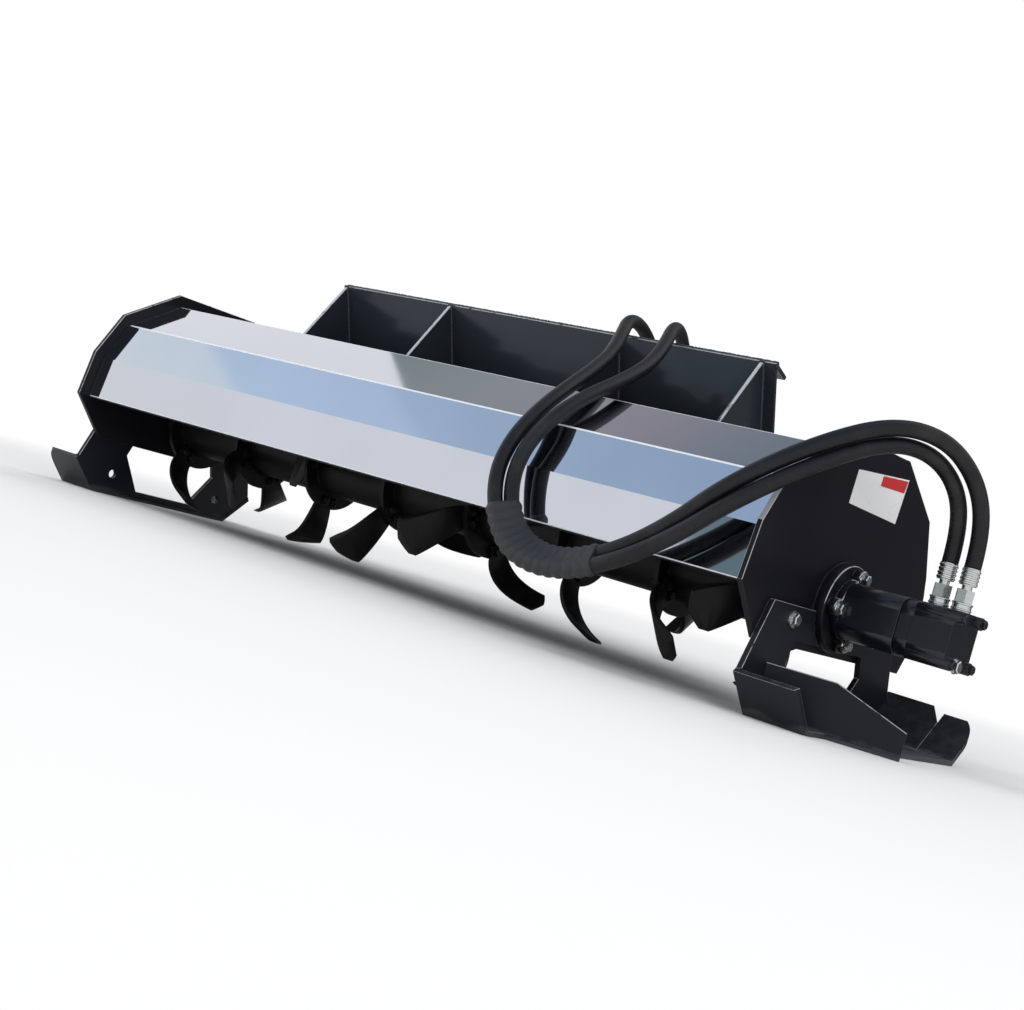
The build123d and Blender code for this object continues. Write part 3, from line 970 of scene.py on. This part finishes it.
# ------------------------------------------------------------------ sub-assemblies
@dataclass
class Hood:
    """The folded hood with its end plates, their welds and the blank sign."""

    shop: Workshop
    edge: float = 0.0012
    fold: float = 0.0022
    fold_angle: float = 25.0
    film: float = 0.0005
    # how far behind and above the rotor's axis each corner of the sign lies, then of its red head
    sign: tuple[Span, ...] = ((-0.050, 0.221), (0.124, 0.238), (0.117, 0.161), (-0.052, 0.165))
    head: tuple[Span, ...] = ((0.034, 0.227), (0.121, 0.235), (0.118, 0.214), (0.033, 0.210))

    def build(self) -> None:
        """Dress the hood and add what is fixed to it."""
        shop = self.shop
        ends = ("end_plate_right", "end_plate_left")
        lips = ("hood_front_lip", "hood_rear_lip")
        shop.paint(Shop.HOOD, "hood_skin")
        shop.paint(Shop.BLACK, *lips, "end_plate_left")
        shop.paint(Shop.END, "end_plate_right")
        # the hood's folds get a painted highlight along their breaks
        shop.soften(self.fold, "hood_skin", edge_finish=Shop.FOLD_HIGHLIGHT, sharp=self.fold_angle)
        shop.soften(self.edge, *lips, *ends)
        seams = [("hood_skin", end) for end in ends] + [("hood_skin", lip) for lip in lips]
        shop.weld("hood_welds", "frame", Shop.BLACK, *seams)
        self._sign()

    def _sign(self) -> None:
        """A blank sign with a red head on the right end plate."""
        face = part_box("end_plate_right")[1].x
        work = bmesh.new()
        for layer, corners in enumerate((self.sign, self.head)):
            self._film(work, corners, face + layer * self.film, layer)
        bmesh.ops.recalc_face_normals(work, faces=work.faces)
        mesh = bpy.data.meshes.new("side sign")
        work.to_mesh(mesh)
        work.free()
        self.shop.piece("side_sign", mesh, "frame", "zinc", Shop.PAPER, Shop.RED)

    def _film(
        self, work: bmesh.types.BMesh, corners: Sequence[Span], x: float, finish: int
    ) -> None:
        """Add a closed sheet of film.

        Args:
            work: the mesh that it goes into.
            corners: its corners, behind and above the rotor's axis.
            x: the plane that it lies on.
            finish: the number of its material.
        """
        axis = self.shop.axis
        sides = []
        for place in (x, x + self.film):
            sides.append([work.verts.new((place, axis.y + y, axis.z + z)) for y, z in corners])
        under, over = sides
        faces = [under[::-1], over]
        for number in range(len(corners)):
            after = (number + 1) % len(corners)
            faces.append([under[number], under[after], over[after], over[number]])
        for face in faces:
            work.faces.new(face).material_index = finish


@dataclass
class SkidShoes:
    """The two shoes, the motor guard and the bolts that hold them."""

    shop: Workshop
    edge: float = 0.0012
    beads: WeldBeads = WeldBeads(radius=0.0022)
    bolt: HexBolts = HexBolts(head=0.0105, tall=0.008, washer=0.014, washer_tall=0.0025)
    bolt_y: float = 0.138
    bolt_z: float = -0.036
    bolt_turn: float = 0.3

    def build(self) -> None:
        """Dress the shoes and bolt them on."""
        shop = self.shop
        plates = ("shoe_plate_right", "shoe_plate_left")
        soles = ("shoe_sole_right", "shoe_sole_left")
        guard = ("motor_guard_floor", "motor_guard_plate")
        shop.paint(Shop.SHOE, *plates, *soles, *guard)
        shop.soften(self.edge, *plates, *soles, *guard)
        seams = list(zip(plates, soles))
        seams += [(guard[1], node) for node in (guard[0], soles[0])]
        low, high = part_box(plates[0])
        middle = (low.x + high.x) / 2
        shop.weld("shoe_welds", "frame", Shop.SHOE, *seams, beads=self.beads, inner=middle)
        bolts = []
        for side, node in zip((1, -1), plates):
            low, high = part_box(node)
            face = high.x if side > 0 else low.x
            for end in (-1, 1):
                place = Vector((face, *shop.axis.yz))
                place += Vector((0, end * self.bolt_y, self.bolt_z))
                bolts.append(Bolt(place, Vector((side, 0, 0)), end * self.bolt_turn))
        shop.bolt("shoe_bolts", "frame", bolts, self.bolt)


@dataclass
class Rotor:
    """The tined rotor with its bolts and welds."""

    shop: Workshop
    edge: float = 0.0007
    flange_count: int = 8
    flange: float = 0.010
    tine: float = 0.008
    first_phase: float = math.radians(154.0)
    helix_step: float = math.radians(-33.75)
    bolt_radius: float = 0.0735
    bolt_apart: float = 0.022
    nut_turn: float = 0.4
    bolt: HexBolts = HexBolts(washer_tall=0.001)
    nut: HexBolts = HexBolts(tall=0.0075, washer_tall=0.0015, stud_tall=0.004)

    def build(self) -> None:
        """Dress the rotor and bolt its tines on."""
        shop = self.shop
        tines = ("tines_left_hand", "tines_right_hand")
        shop.paint(Shop.ROTOR, "rotor_tube", "rotor_flanges")
        shop.paint(Shop.TINE, *tines)
        shop.paint(Shop.SHAFT, "stub_shaft_left", "drive_shaft")
        shop.soften(self.edge, *tines, edge_finish=None)
        shop.weld("rotor_welds", "rotor", Shop.ROTOR, ("rotor_flanges", "rotor_tube"))
        heads, nuts = self._bolts()
        shop.bolt("tine_bolts", "rotor", heads, self.bolt, Shop.TINE)
        shop.bolt("tine_nuts", "rotor", nuts, self.nut, Shop.TINE)

    def _bolts(self) -> tuple[list[Bolt], list[Bolt]]:
        """Two bolts and two nuts for each tine.

        Returns:
            The heads, on the tines, and the nuts, behind the flanges.
        """
        low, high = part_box("rotor_flanges")
        first = low.x + self.flange / 2
        pitch = (high.x - low.x - self.flange) / (self.flange_count - 1)
        heads: list[Bolt] = []
        nuts: list[Bolt] = []
        for number in range(self.flange_count):
            for place, hand in enumerate(self._hands(number)):
                turn = self.first_phase + place * math.pi / 2 + number * self.helix_step
                out = Vector((0, -math.sin(turn), math.cos(turn)))
                along = Vector((0, math.cos(turn), math.sin(turn)))
                for end in (-1, 1):
                    spot = out * self.bolt_radius + along * (end * self.bolt_apart / 2)
                    spot += Vector((first + number * pitch, *self.shop.axis.yz))
                    face = Vector((hand, 0, 0))
                    heads.append(Bolt(spot + face * (self.flange / 2 + self.tine), face, turn))
                    twist = turn + end * self.nut_turn
                    nuts.append(Bolt(spot - face * (self.flange / 2), -face, twist))
        return heads, nuts

    def _hands(self, number: int) -> tuple[int, ...]:
        """Which way the tines of a flange are bent.

        Args:
            number: the flange, counted from the left.

        Returns:
            For each tine, 1 to the motor side or -1 away from it.
        """
        if number == 0:
            return (1, 1, 1, 1)
        if number == self.flange_count - 1:
            return (-1, -1, -1, -1)
        return (1, -1, 1, -1)


@dataclass
class Drive:
    """The hydraulic motor, its ring and the left bearing."""

    shop: Workshop
    edge: float = 0.001
    flange_edge: float = 0.0015
    motor_circle: float = 0.0545
    bearing_circle: float = 0.064
    bearing_flange: float = 0.014
    corner_boss: float = 0.036
    end_boss: float = 0.008
    head_turn: float = 0.7
    # where the drain plug sits, behind and above the axis
    plug: Span = (-0.002, -0.037)
    plug_turn: float = 0.5
    motor_bolt: HexBolts = HexBolts(head=0.0095, tall=0.008)
    bearing_bolt: HexBolts = HexBolts(head=0.0085, tall=0.0075, washer=0.011)
    cap_bolt: HexBolts = HexBolts(head=0.0078, tall=0.005, washer=0.0088)
    plug_head: HexBolts = HexBolts(head=0.0105)
    # columns: piece, heights above a port fitting's foot, sizes
    bands: tuple[tuple[str, tuple[float, ...], CrimpBands], ...] = (
        ("crimp_bands", (0.0425, 0.0490, 0.0555, 0.0620), CrimpBands()),
        ("seat_rings", (0.0015, 0.0105), CrimpBands(band=0.0163, band_tall=0.0035)),
    )

    def build(self) -> None:
        """Dress the motor and the bearing, and add their bolts."""
        shop = self.shop
        boxes = ("motor_body", "motor_gerotor", "motor_end_cap")
        fittings = ("port_fitting_1", "port_fitting_2")
        shop.paint(Shop.MOTOR, "motor_flange", *boxes)
        shop.paint(Shop.BLACK, "motor_ring")
        shop.paint(Shop.IRON, "bearing_housing_left", "bearing_cap_left")
        shop.paint(Shop.ZINC, *fittings, "coupler_1", "coupler_2")
        shop.soften(self.edge, *boxes, edge_finish=None)
        shop.soften(self.flange_edge, "motor_flange", "motor_ring")
        shop.weld("ring_weld", "frame", Shop.BLACK, ("motor_ring", "end_plate_right"))
        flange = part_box("motor_flange")[1].x
        bolts = self._circle(flange, 1, self.motor_circle, 0.0)
        shop.bolt("motor_bolts", "frame", bolts, self.motor_bolt)
        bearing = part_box("end_plate_left")[0].x - self.bearing_flange
        bolts = self._circle(bearing, -1, self.bearing_circle, math.pi / 4)
        shop.bolt("bearing_bolts", "frame", bolts, self.bearing_bolt)
        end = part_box("motor_end_cap")[1].x
        corners = self._circle(end, 1, self.corner_boss * math.sqrt(2), math.pi / 4)
        shop.bolt("end_cap_bolts", "frame", corners, self.cap_bolt, Shop.MOTOR)
        plug = self._bolt(end - self.end_boss, 1, *self.plug, self.plug_turn)
        shop.bolt("drain_plug", "frame", [plug], self.plug_head)
        for name, heights, shape in self.bands:
            rings = []
            for low, high in map(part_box, fittings):
                middle = (low + high) / 2
                places = (Vector((middle.x, middle.y, low.z + height)) for height in heights)
                rings += [Bolt(place, Vector((0, 0, 1))) for place in places]
            shop.bolt(name, "frame", rings, shape)

    def _circle(self, x: float, side: int, radius: float, start: float) -> list[Bolt]:
        """Four bolts on a circle round the rotor's axis, each head turned its own way.

        Args:
            x: the face that they sit on.
            side: 1 where it faces right, -1 where it faces left.
            radius: the circle's.
            start: where on the circle the first one is.

        Returns:
            The bolts.
        """
        bolts = []
        for quarter in range(4):
            turn = start + quarter * math.pi / 2
            y, z = radius * math.cos(turn), radius * math.sin(turn)
            bolts.append(self._bolt(x, side, y, z, self.head_turn * turn))
        return bolts

    def _bolt(self, x: float, side: int, y: float, z: float, spin: float) -> Bolt:
        """A bolt on a face at x, its place counted from the rotor's axis."""
        axis = self.shop.axis
        return Bolt(Vector((x, axis.y + y, axis.z + z)), Vector((side, 0, 0)), spin)


@dataclass
class QuickAttach:
    """The frame that the loader takes."""

    shop: Workshop
    edge: float = 0.0012

    def build(self) -> None:
        """Dress the frame and weld it together."""
        gussets = [f"gusset_{number}" for number in range(1, 5)]
        bars = ["attach_hook", "attach_ledge"]
        self.shop.paint(Shop.FRAME, *bars)
        self.shop.paint(Shop.GUSSET, "attach_plate", *gussets)
        self.shop.soften(self.edge, "attach_plate", *bars, *gussets)
        seams = [(gusset, plate) for gusset in gussets for plate in ("hood_skin", "attach_plate")]
        seams += [(bar, "attach_plate") for bar in bars]
        self.shop.weld("attach_welds", "frame", Shop.FRAME, *seams)


@dataclass
class Hoses:
    """Two hydraulic hoses and the gathered sleeve round them."""

    shop: Workshop
    radius: float = 0.013
    sides: int = 20
    smoothness: int = 24
    sleeve_top: float = 0.010
    sleeve_from: float = 0.24
    sleeve_thick: float = 0.0010
    pleat: float = 0.0030
    pleat_pitch: float = 0.019
    lengths: Span = (2.204, 2.188)
    # columns: x, y, z of the first hose, counted from the rotor's axis; the second hose's step
    route: tuple[tuple[float, ...], ...] = (
        (1.018, 0.000, 0.114, 0.038, 0.000, 0.000),
        (1.018, 0.000, 0.171, 0.038, 0.000, 0.004),
        (1.007, -0.028, 0.231, 0.030, 0.002, 0.014),
        (0.979, -0.082, 0.266, 0.020, -0.002, 0.025),
        (0.938, -0.148, 0.261, 0.004, -0.008, 0.027),
        (0.888, -0.246, 0.198, -0.008, -0.006, 0.026),
        (0.814, -0.320, 0.110, -0.016, 0.000, 0.024),
        (0.728, -0.330, 0.028, -0.013, 0.011, 0.022),
        (0.634, -0.336, -0.034, -0.008, 0.017, 0.021),
        (0.536, -0.338, -0.068, -0.002, 0.020, 0.020),
        (0.446, -0.337, -0.060, 0.010, 0.022, 0.020),
        (0.384, -0.328, -0.008, 0.019, 0.018, 0.007),
        (0.350, -0.316, 0.060, 0.026, 0.013, 0.000),
        (0.346, -0.294, 0.124, 0.028, 0.008, -0.002),
        (0.348, -0.250, 0.184, 0.034, 0.004, -0.004),
        (0.336, -0.178, 0.238, 0.044, 0.004, -0.006),
        (0.308, -0.088, 0.288, 0.066, 0.004, -0.008),
        (0.266, 0.004, 0.336, 0.088, 0.002, -0.008),
        (0.214, 0.084, 0.384, 0.104, 0.000, -0.004),
        (0.166, 0.156, 0.430, 0.108, 0.000, 0.000),
        (0.130, 0.244, 0.440, 0.098, 0.000, 0.000),
        (0.108, 0.332, 0.412, 0.082, 0.000, 0.000),
        (0.096, 0.400, 0.356, 0.070, 0.000, 0.000),
        (0.091, 0.440, 0.280, 0.061, 0.000, 0.000),
        (0.090, 0.456, 0.198, 0.056, 0.000, 0.000),
    )

    def build(self) -> None:
        where = ("frame", "hose_rubber")
        lines = [self._centre_line(number) for number in (1, 2)]
        sleeve = self.shop.piece("hose_sleeve", self._sleeve(*lines), *where, Shop.SLEEVE)
        for number, line in enumerate(lines, 1):
            mesh = self._tube(line)
            item = self.shop.piece(f"hose_cover_{number}", mesh, *where, Shop.HOSE)
            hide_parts(f"hose_{number}")

    def _centre_line(self, number: int) -> list[Vector]:
        """The smooth line of one hose.

        Args:
            number: 1 or 2.

        Returns:
            Points along the route's NURBS curve, in order.
        """
        curve = bpy.data.curves.new("hose line", "CURVE")
        curve.dimensions = "3D"
        curve.resolution_u = self.smoothness
        spline = curve.splines.new("NURBS")
        spline.points.add(len(self.route) - 1)
        for point, (x, y, z, dx, dy, dz) in zip(spline.points, self.route):
            step = number - 1
            place = self.shop.axis + Vector((x + step * dx, y + step * dy, z + step * dz))
            point.co = (*place, 1.0)
        spline.order_u = 3
        spline.use_endpoint_u = True
        holder = bpy.data.objects.new("hose line", curve)
        mesh = bpy.data.meshes.new_from_object(holder)
        points = [vertex.co.copy() for vertex in mesh.vertices]
        bpy.data.objects.remove(holder)
        return points

    def _tube(self, line: Sequence[Vector]) -> Mesh:
        """A tube round a line.

        Args:
            line: the centre line's points.

        Returns:
            The closed tube.
        """
        rings = []
        turns = [math.tau * side / self.sides for side in range(self.sides)]
        ahead = (line[1] - line[0]).normalized()
        across = ahead.orthogonal().normalized()
        for number, point in enumerate(line):
            after = self._ahead(line, number)
            across = (ahead.rotation_difference(after) @ across).normalized()
            ahead = after
            other = ahead.cross(across)
            spokes = (across * math.cos(turn) + other * math.sin(turn) for turn in turns)
            rings.append([point + self.radius * spoke for spoke in spokes])
        return self._loft(rings, line)

    @staticmethod
    def _ahead(line: Sequence[Vector], number: int) -> Vector:
        """The direction of a line at one of its points."""
        after = line[min(number + 1, len(line) - 1)]
        return (after - line[max(number - 1, 0)]).normalized()

    def _sleeve(self, one: Sequence[Vector], two: Sequence[Vector]) -> Mesh:
        """A gathered sleeve round both hoses along the bottom of their loop.

        Args:
            one: the first hose's centre line.
            two: the second hose's centre line.

        Returns:
            The closed sleeve.
        """
        axis = self.shop.axis
        top = axis.z + self.sleeve_top
        low = [number for number, spot in enumerate(one) if spot.z < top and spot.y < axis.y]
        line = one[low[int(self.sleeve_from * len(low))]:low[-1] + 1]
        turns = [math.tau * (side + 0.5) / self.sides for side in range(self.sides)]
        rings = []
        run = 0.0
        for number, point in enumerate(line):
            ahead = self._ahead(line, number)
            steps = [spot - point for spot in two]
            across = min(steps, key=lambda step: abs(step.dot(ahead)) + step.length)
            across -= ahead * across.dot(ahead)
            out = across.normalized()
            other = ahead.cross(out)
            run += (point - line[max(number - 1, 0)]).length
            pleat = abs(math.sin(math.pi * run / self.pleat_pitch))
            radius = self.radius + self.sleeve_thick + self.pleat * pleat
            ring = []
            for turn in turns:
                centre = point + across if math.cos(turn) > 0 else point
                ring.append(centre + radius * (out * math.cos(turn) + other * math.sin(turn)))
            rings.append(ring)
        return self._loft(rings, line)

    @staticmethod
    def _loft(rings: Sequence[Sequence[Vector]], line: Sequence[Vector]) -> Mesh:
        """Skin a row of rings, with a map that follows the length.

        Args:
            rings: rings of as many points each.
            line: the middle of each ring.

        Returns:
            The closed shell.
        """
        work = bmesh.new()
        layer = work.loops.layers.uv.new("wrap")
        hoops = [[work.verts.new(point) for point in ring] for ring in rings]
        sides = len(hoops[0])
        run = 0.0
        for number, (one, two) in enumerate(zip(hoops, hoops[1:])):
            start, run = run, run + (line[number + 1] - line[number]).length
            for side in range(sides):
                after = (side + 1) % sides
                face = work.faces.new((one[side], one[after], two[after], two[side]))
                face.smooth = True
                corners = ((start, 0), (start, 1), (run, 1), (run, 0))
                for loop, (along, turn) in zip(face.loops, corners):
                    loop[layer].uv = (along, (side + turn) / sides)
        work.faces.new(hoops[0][::-1])
        work.faces.new(hoops[-1])
        bmesh.ops.recalc_face_normals(work, faces=work.faces)
        mesh = bpy.data.meshes.new("hose")
        work.to_mesh(mesh)
        work.free()
        return mesh


# ------------------------------------------------------------------ studio
@dataclass
class Studio:
    """Pale floor, soft lamps and the camera."""

    azimuth: float = 37.32
    elevation: float = -14.37
    roll: float = 15.05
    place: Point = (2.0954, -2.4864, 0.1808)
    aim_right: float = -6.0
    aim_down: float = 12.6
    lens: float = 59.0
    sensor: float = 36.0
    # columns: sine of the height above the horizon; colour of the dome there
    dome: tuple[tuple[float, Colour], ...] = (
        (0.00, (1.00, 1.00, 1.00)),
        (0.25, (0.95, 0.95, 0.98)),
        (0.49, (0.90, 0.96, 1.00)),
        (0.529, (0.84, 0.93, 1.00)),
        (0.534, (0.66, 0.80, 0.98)),
        (0.596, (0.60, 0.74, 0.94)),
        (0.600, (0.52, 0.65, 0.84)),
        (0.66, (0.45, 0.58, 0.75)),
        (0.72, (0.40, 0.52, 0.70)),
        (1.00, (0.34, 0.44, 0.60)),
    )
    # the same for the dark flag behind, which stands where rise + slant * behind passes its edge
    flag: tuple[tuple[float, Colour], ...] = (
        (0.00, (0.10, 0.10, 0.11)),
        (0.40, (0.14, 0.14, 0.15)),
        (0.60, (0.25, 0.31, 0.30)),
        (0.64, (0.34, 0.36, 0.37)),
        (0.69, (0.36, 0.33, 0.38)),
        (0.73, (0.21, 0.26, 0.29)),
        (1.00, (0.22, 0.27, 0.30)),
    )
    flag_slant: float = 1.42
    flag_edge: Span = (1.132, 1.135)
    # how far to the left the flag starts, and how low it is seen from the right as well
    flag_side: Span = (0.05, 0.10)
    flag_low: Span = (0.50, 0.45)
    # the dark flag before the machine: its colour, how far forward and to the left it starts
    front_flag: Colour = (0.17, 0.24, 0.27)
    front_edge: Span = (0.801, 0.806)
    front_side: Span = (0.22, 0.28)
    # the dome behind, and where it takes over from the one before the machine
    back_dome: Colour = (0.98, 0.97, 1.0)
    back_edge: Span = (0.0, 0.2)
    soft_light: Colour = (0.95, 0.97, 1.0)
    soft_power: float = 0.55
    # columns: name, place, size, watts
    lamps: tuple[tuple[str, Point, float, float], ...] = (
        ("key", (-2.2, -3.6, 4.2), 3.0, 120.0),
        ("fill", (3.6, -2.2, 2.6), 2.4, 60.0),
        ("rim", (-0.5, 3.6, 3.4), 3.0, 60.0),
    )
    lamp_aim: Point = (0.0, 0.0, 0.25)
    floor_half: float = 30.0
    floor_colour: Colour = (0.86, 0.86, 0.86)
    # where the floor fades into white, counted from its middle
    floor_fade: Span = (1.6, 3.2)
    # where gloss starts to mirror the flag in the floor behind the machine
    floor_flag: Span = (0.5, 1.1)

    def build(self) -> None:
        """Set the scene's stage."""
        self._world()
        self._floor()
        for lamp in self.lamps:
            self._lamp(*lamp)
        self._camera()
        bpy.context.scene.view_settings.view_transform = "Standard"

    @staticmethod
    def _seen(wiring: Wiring) -> Signal:
        """Tell which rays show the surround and which only carry its light.

        Args:
            wiring: the tree that asks.

        Returns:
            1 for rays that come straight from the camera, a mirror or glass, else 0.
        """
        path = wiring.add("ShaderNodeLightPath")
        names = ("Is Camera Ray", "Is Glossy Ray", "Is Transmission Ray")
        direct, glossy, through = (Signal(wiring, path.outputs[name]) for name in names)
        return (direct + glossy + through) > 0.5

    def _world(self) -> None:
        """A white surround that lights softly; gloss mirrors a dome with dark flags."""
        world = bpy.data.worlds.new("studio")
        bpy.context.scene.world = world
        world.use_nodes = True
        wiring = Wiring(world.node_tree)
        direct = wiring.number("ShaderNodeLightPath", output="Is Camera Ray")
        toward = wiring.add("ShaderNodeTexCoord").outputs["Generated"]
        split = wiring.add("ShaderNodeSeparateXYZ", sockets={0: toward})
        across, behind, rise = (Signal(wiring, split.outputs[name]) for name in "XYZ")
        dome = wiring.add("ShaderNodeValToRGB", {"stops": self.dome}, {0: rise}).outputs[0]
        flag = wiring.add("ShaderNodeValToRGB", {"stops": self.flag}, {0: rise}).outputs[0]
        left, before = across * -1.0, behind * -1.0
        sky = wiring.mix(behind.step(*self.back_edge), dome, self.back_dome)
        card = before.step(*self.front_edge) * left.step(*self.front_side)
        front = wiring.mix(card, sky, self.front_flag)
        wide = (left.step(*self.flag_side) + rise.step(*self.flag_low)) > 0.5
        card = (rise + behind * self.flag_slant).step(*self.flag_edge) * wide
        mirrored = wiring.mix(card, front, flag)
        shade = wiring.mix(direct, mirrored, (1.0, 1.0, 1.0))
        sockets = {0: solid(self.soft_light), 1: self.soft_power}
        light = wiring.add("ShaderNodeBackground", sockets=sockets)
        shown = wiring.add("ShaderNodeBackground", sockets={0: shade, 1: 1.0})
        sockets = {0: self._seen(wiring), 1: light, 2: shown}
        both = wiring.add("ShaderNodeMixShader", sockets=sockets)
        wiring.add("ShaderNodeOutputWorld", sockets={"Surface": both})

    def _floor(self) -> None:
        """A pale floor that fades into the white surround."""
        half = self.floor_half
        mesh = bpy.data.meshes.new("floor")
        corners = [(-half, -half, 0), (half, -half, 0), (half, half, 0), (-half, half, 0)]
        mesh.from_pydata(corners, [], [(0, 1, 2, 3)])
        floor = bpy.data.objects.new("floor", mesh)
        bpy.context.scene.collection.objects.link(floor)
        material = bpy.data.materials.new("studio floor")
        material.use_nodes = True
        wiring = Wiring(material.node_tree)
        where = wiring.add("ShaderNodeTexCoord").outputs["Object"]
        length = {"operation": "LENGTH"}
        reach = wiring.number("ShaderNodeVectorMath", length, {0: where}, "Value")
        seen = self._seen(wiring)
        direct = wiring.number("ShaderNodeLightPath", output="Is Camera Ray")
        depth = wiring.number("ShaderNodeSeparateXYZ", None, {0: where}, "Y")
        shaded = depth.step(*self.floor_flag) * seen * (1.0 - direct)
        shade = wiring.mix(shaded, (1.0, 1.0, 1.0), self.flag[0][1])
        pale = wiring.add("ShaderNodeBsdfDiffuse", sockets={"Color": solid(self.floor_colour)})
        white = wiring.add("ShaderNodeEmission", sockets={"Color": shade})
        share = reach.step(*self.floor_fade) * seen + shaded
        both = wiring.add("ShaderNodeMixShader", sockets={0: share, 1: pale, 2: white})
        wiring.add("ShaderNodeOutputMaterial", sockets={"Surface": both})
        mesh.materials.append(material)

    def _lamp(self, name: str, place: Point, size: float, power: float) -> None:
        """A soft lamp that looks at the machine's middle.

        Args:
            name: its name.
            place: where it hangs.
            size: its side.
            power: its power in watts.
        """
        light = bpy.data.lights.new(name, "AREA")
        light.size = size
        light.energy = power
        lamp = bpy.data.objects.new(name, light)
        lamp.visible_glossy = False
        lamp.location = place
        toward = Vector(self.lamp_aim) - lamp.location
        lamp.rotation_euler = toward.to_track_quat("-Z", "Y").to_euler()
        bpy.context.scene.collection.objects.link(lamp)

    def _camera(self) -> None:
        """The camera, turned a little so that the machine fills the frame."""
        lens = bpy.data.cameras.new("camera")
        lens.lens = self.lens
        lens.sensor_width = self.sensor
        camera = bpy.data.objects.new("camera", lens)
        turn = Matrix.Identity(3)
        for degrees, axis in (
            (self.azimuth, "Z"),
            (90.0 - self.elevation, "X"),
            (self.roll, "Z"),
            (-self.aim_right, "Y"),
            (-self.aim_down, "X"),
        ):
            turn @= Matrix.Rotation(math.radians(degrees), 3, axis)
        camera.matrix_world = Matrix.LocRotScale(Vector(self.place), turn.to_quaternion(), None)
        bpy.context.scene.collection.objects.link(camera)
        bpy.context.scene.camera = camera


# ------------------------------------------------------------------ the machine
def main() -> None:
    """Build every sub-assembly in order."""
    logging.basicConfig(level=logging.INFO, format="%(name)s: %(message)s")
    shop = Workshop(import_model())
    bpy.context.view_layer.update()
    Studio().build()
    for assembly in (Hoses, Hood, SkidShoes, Rotor, Drive, QuickAttach):
        assembly(shop).build()


if __name__ == "__main__":
    main()
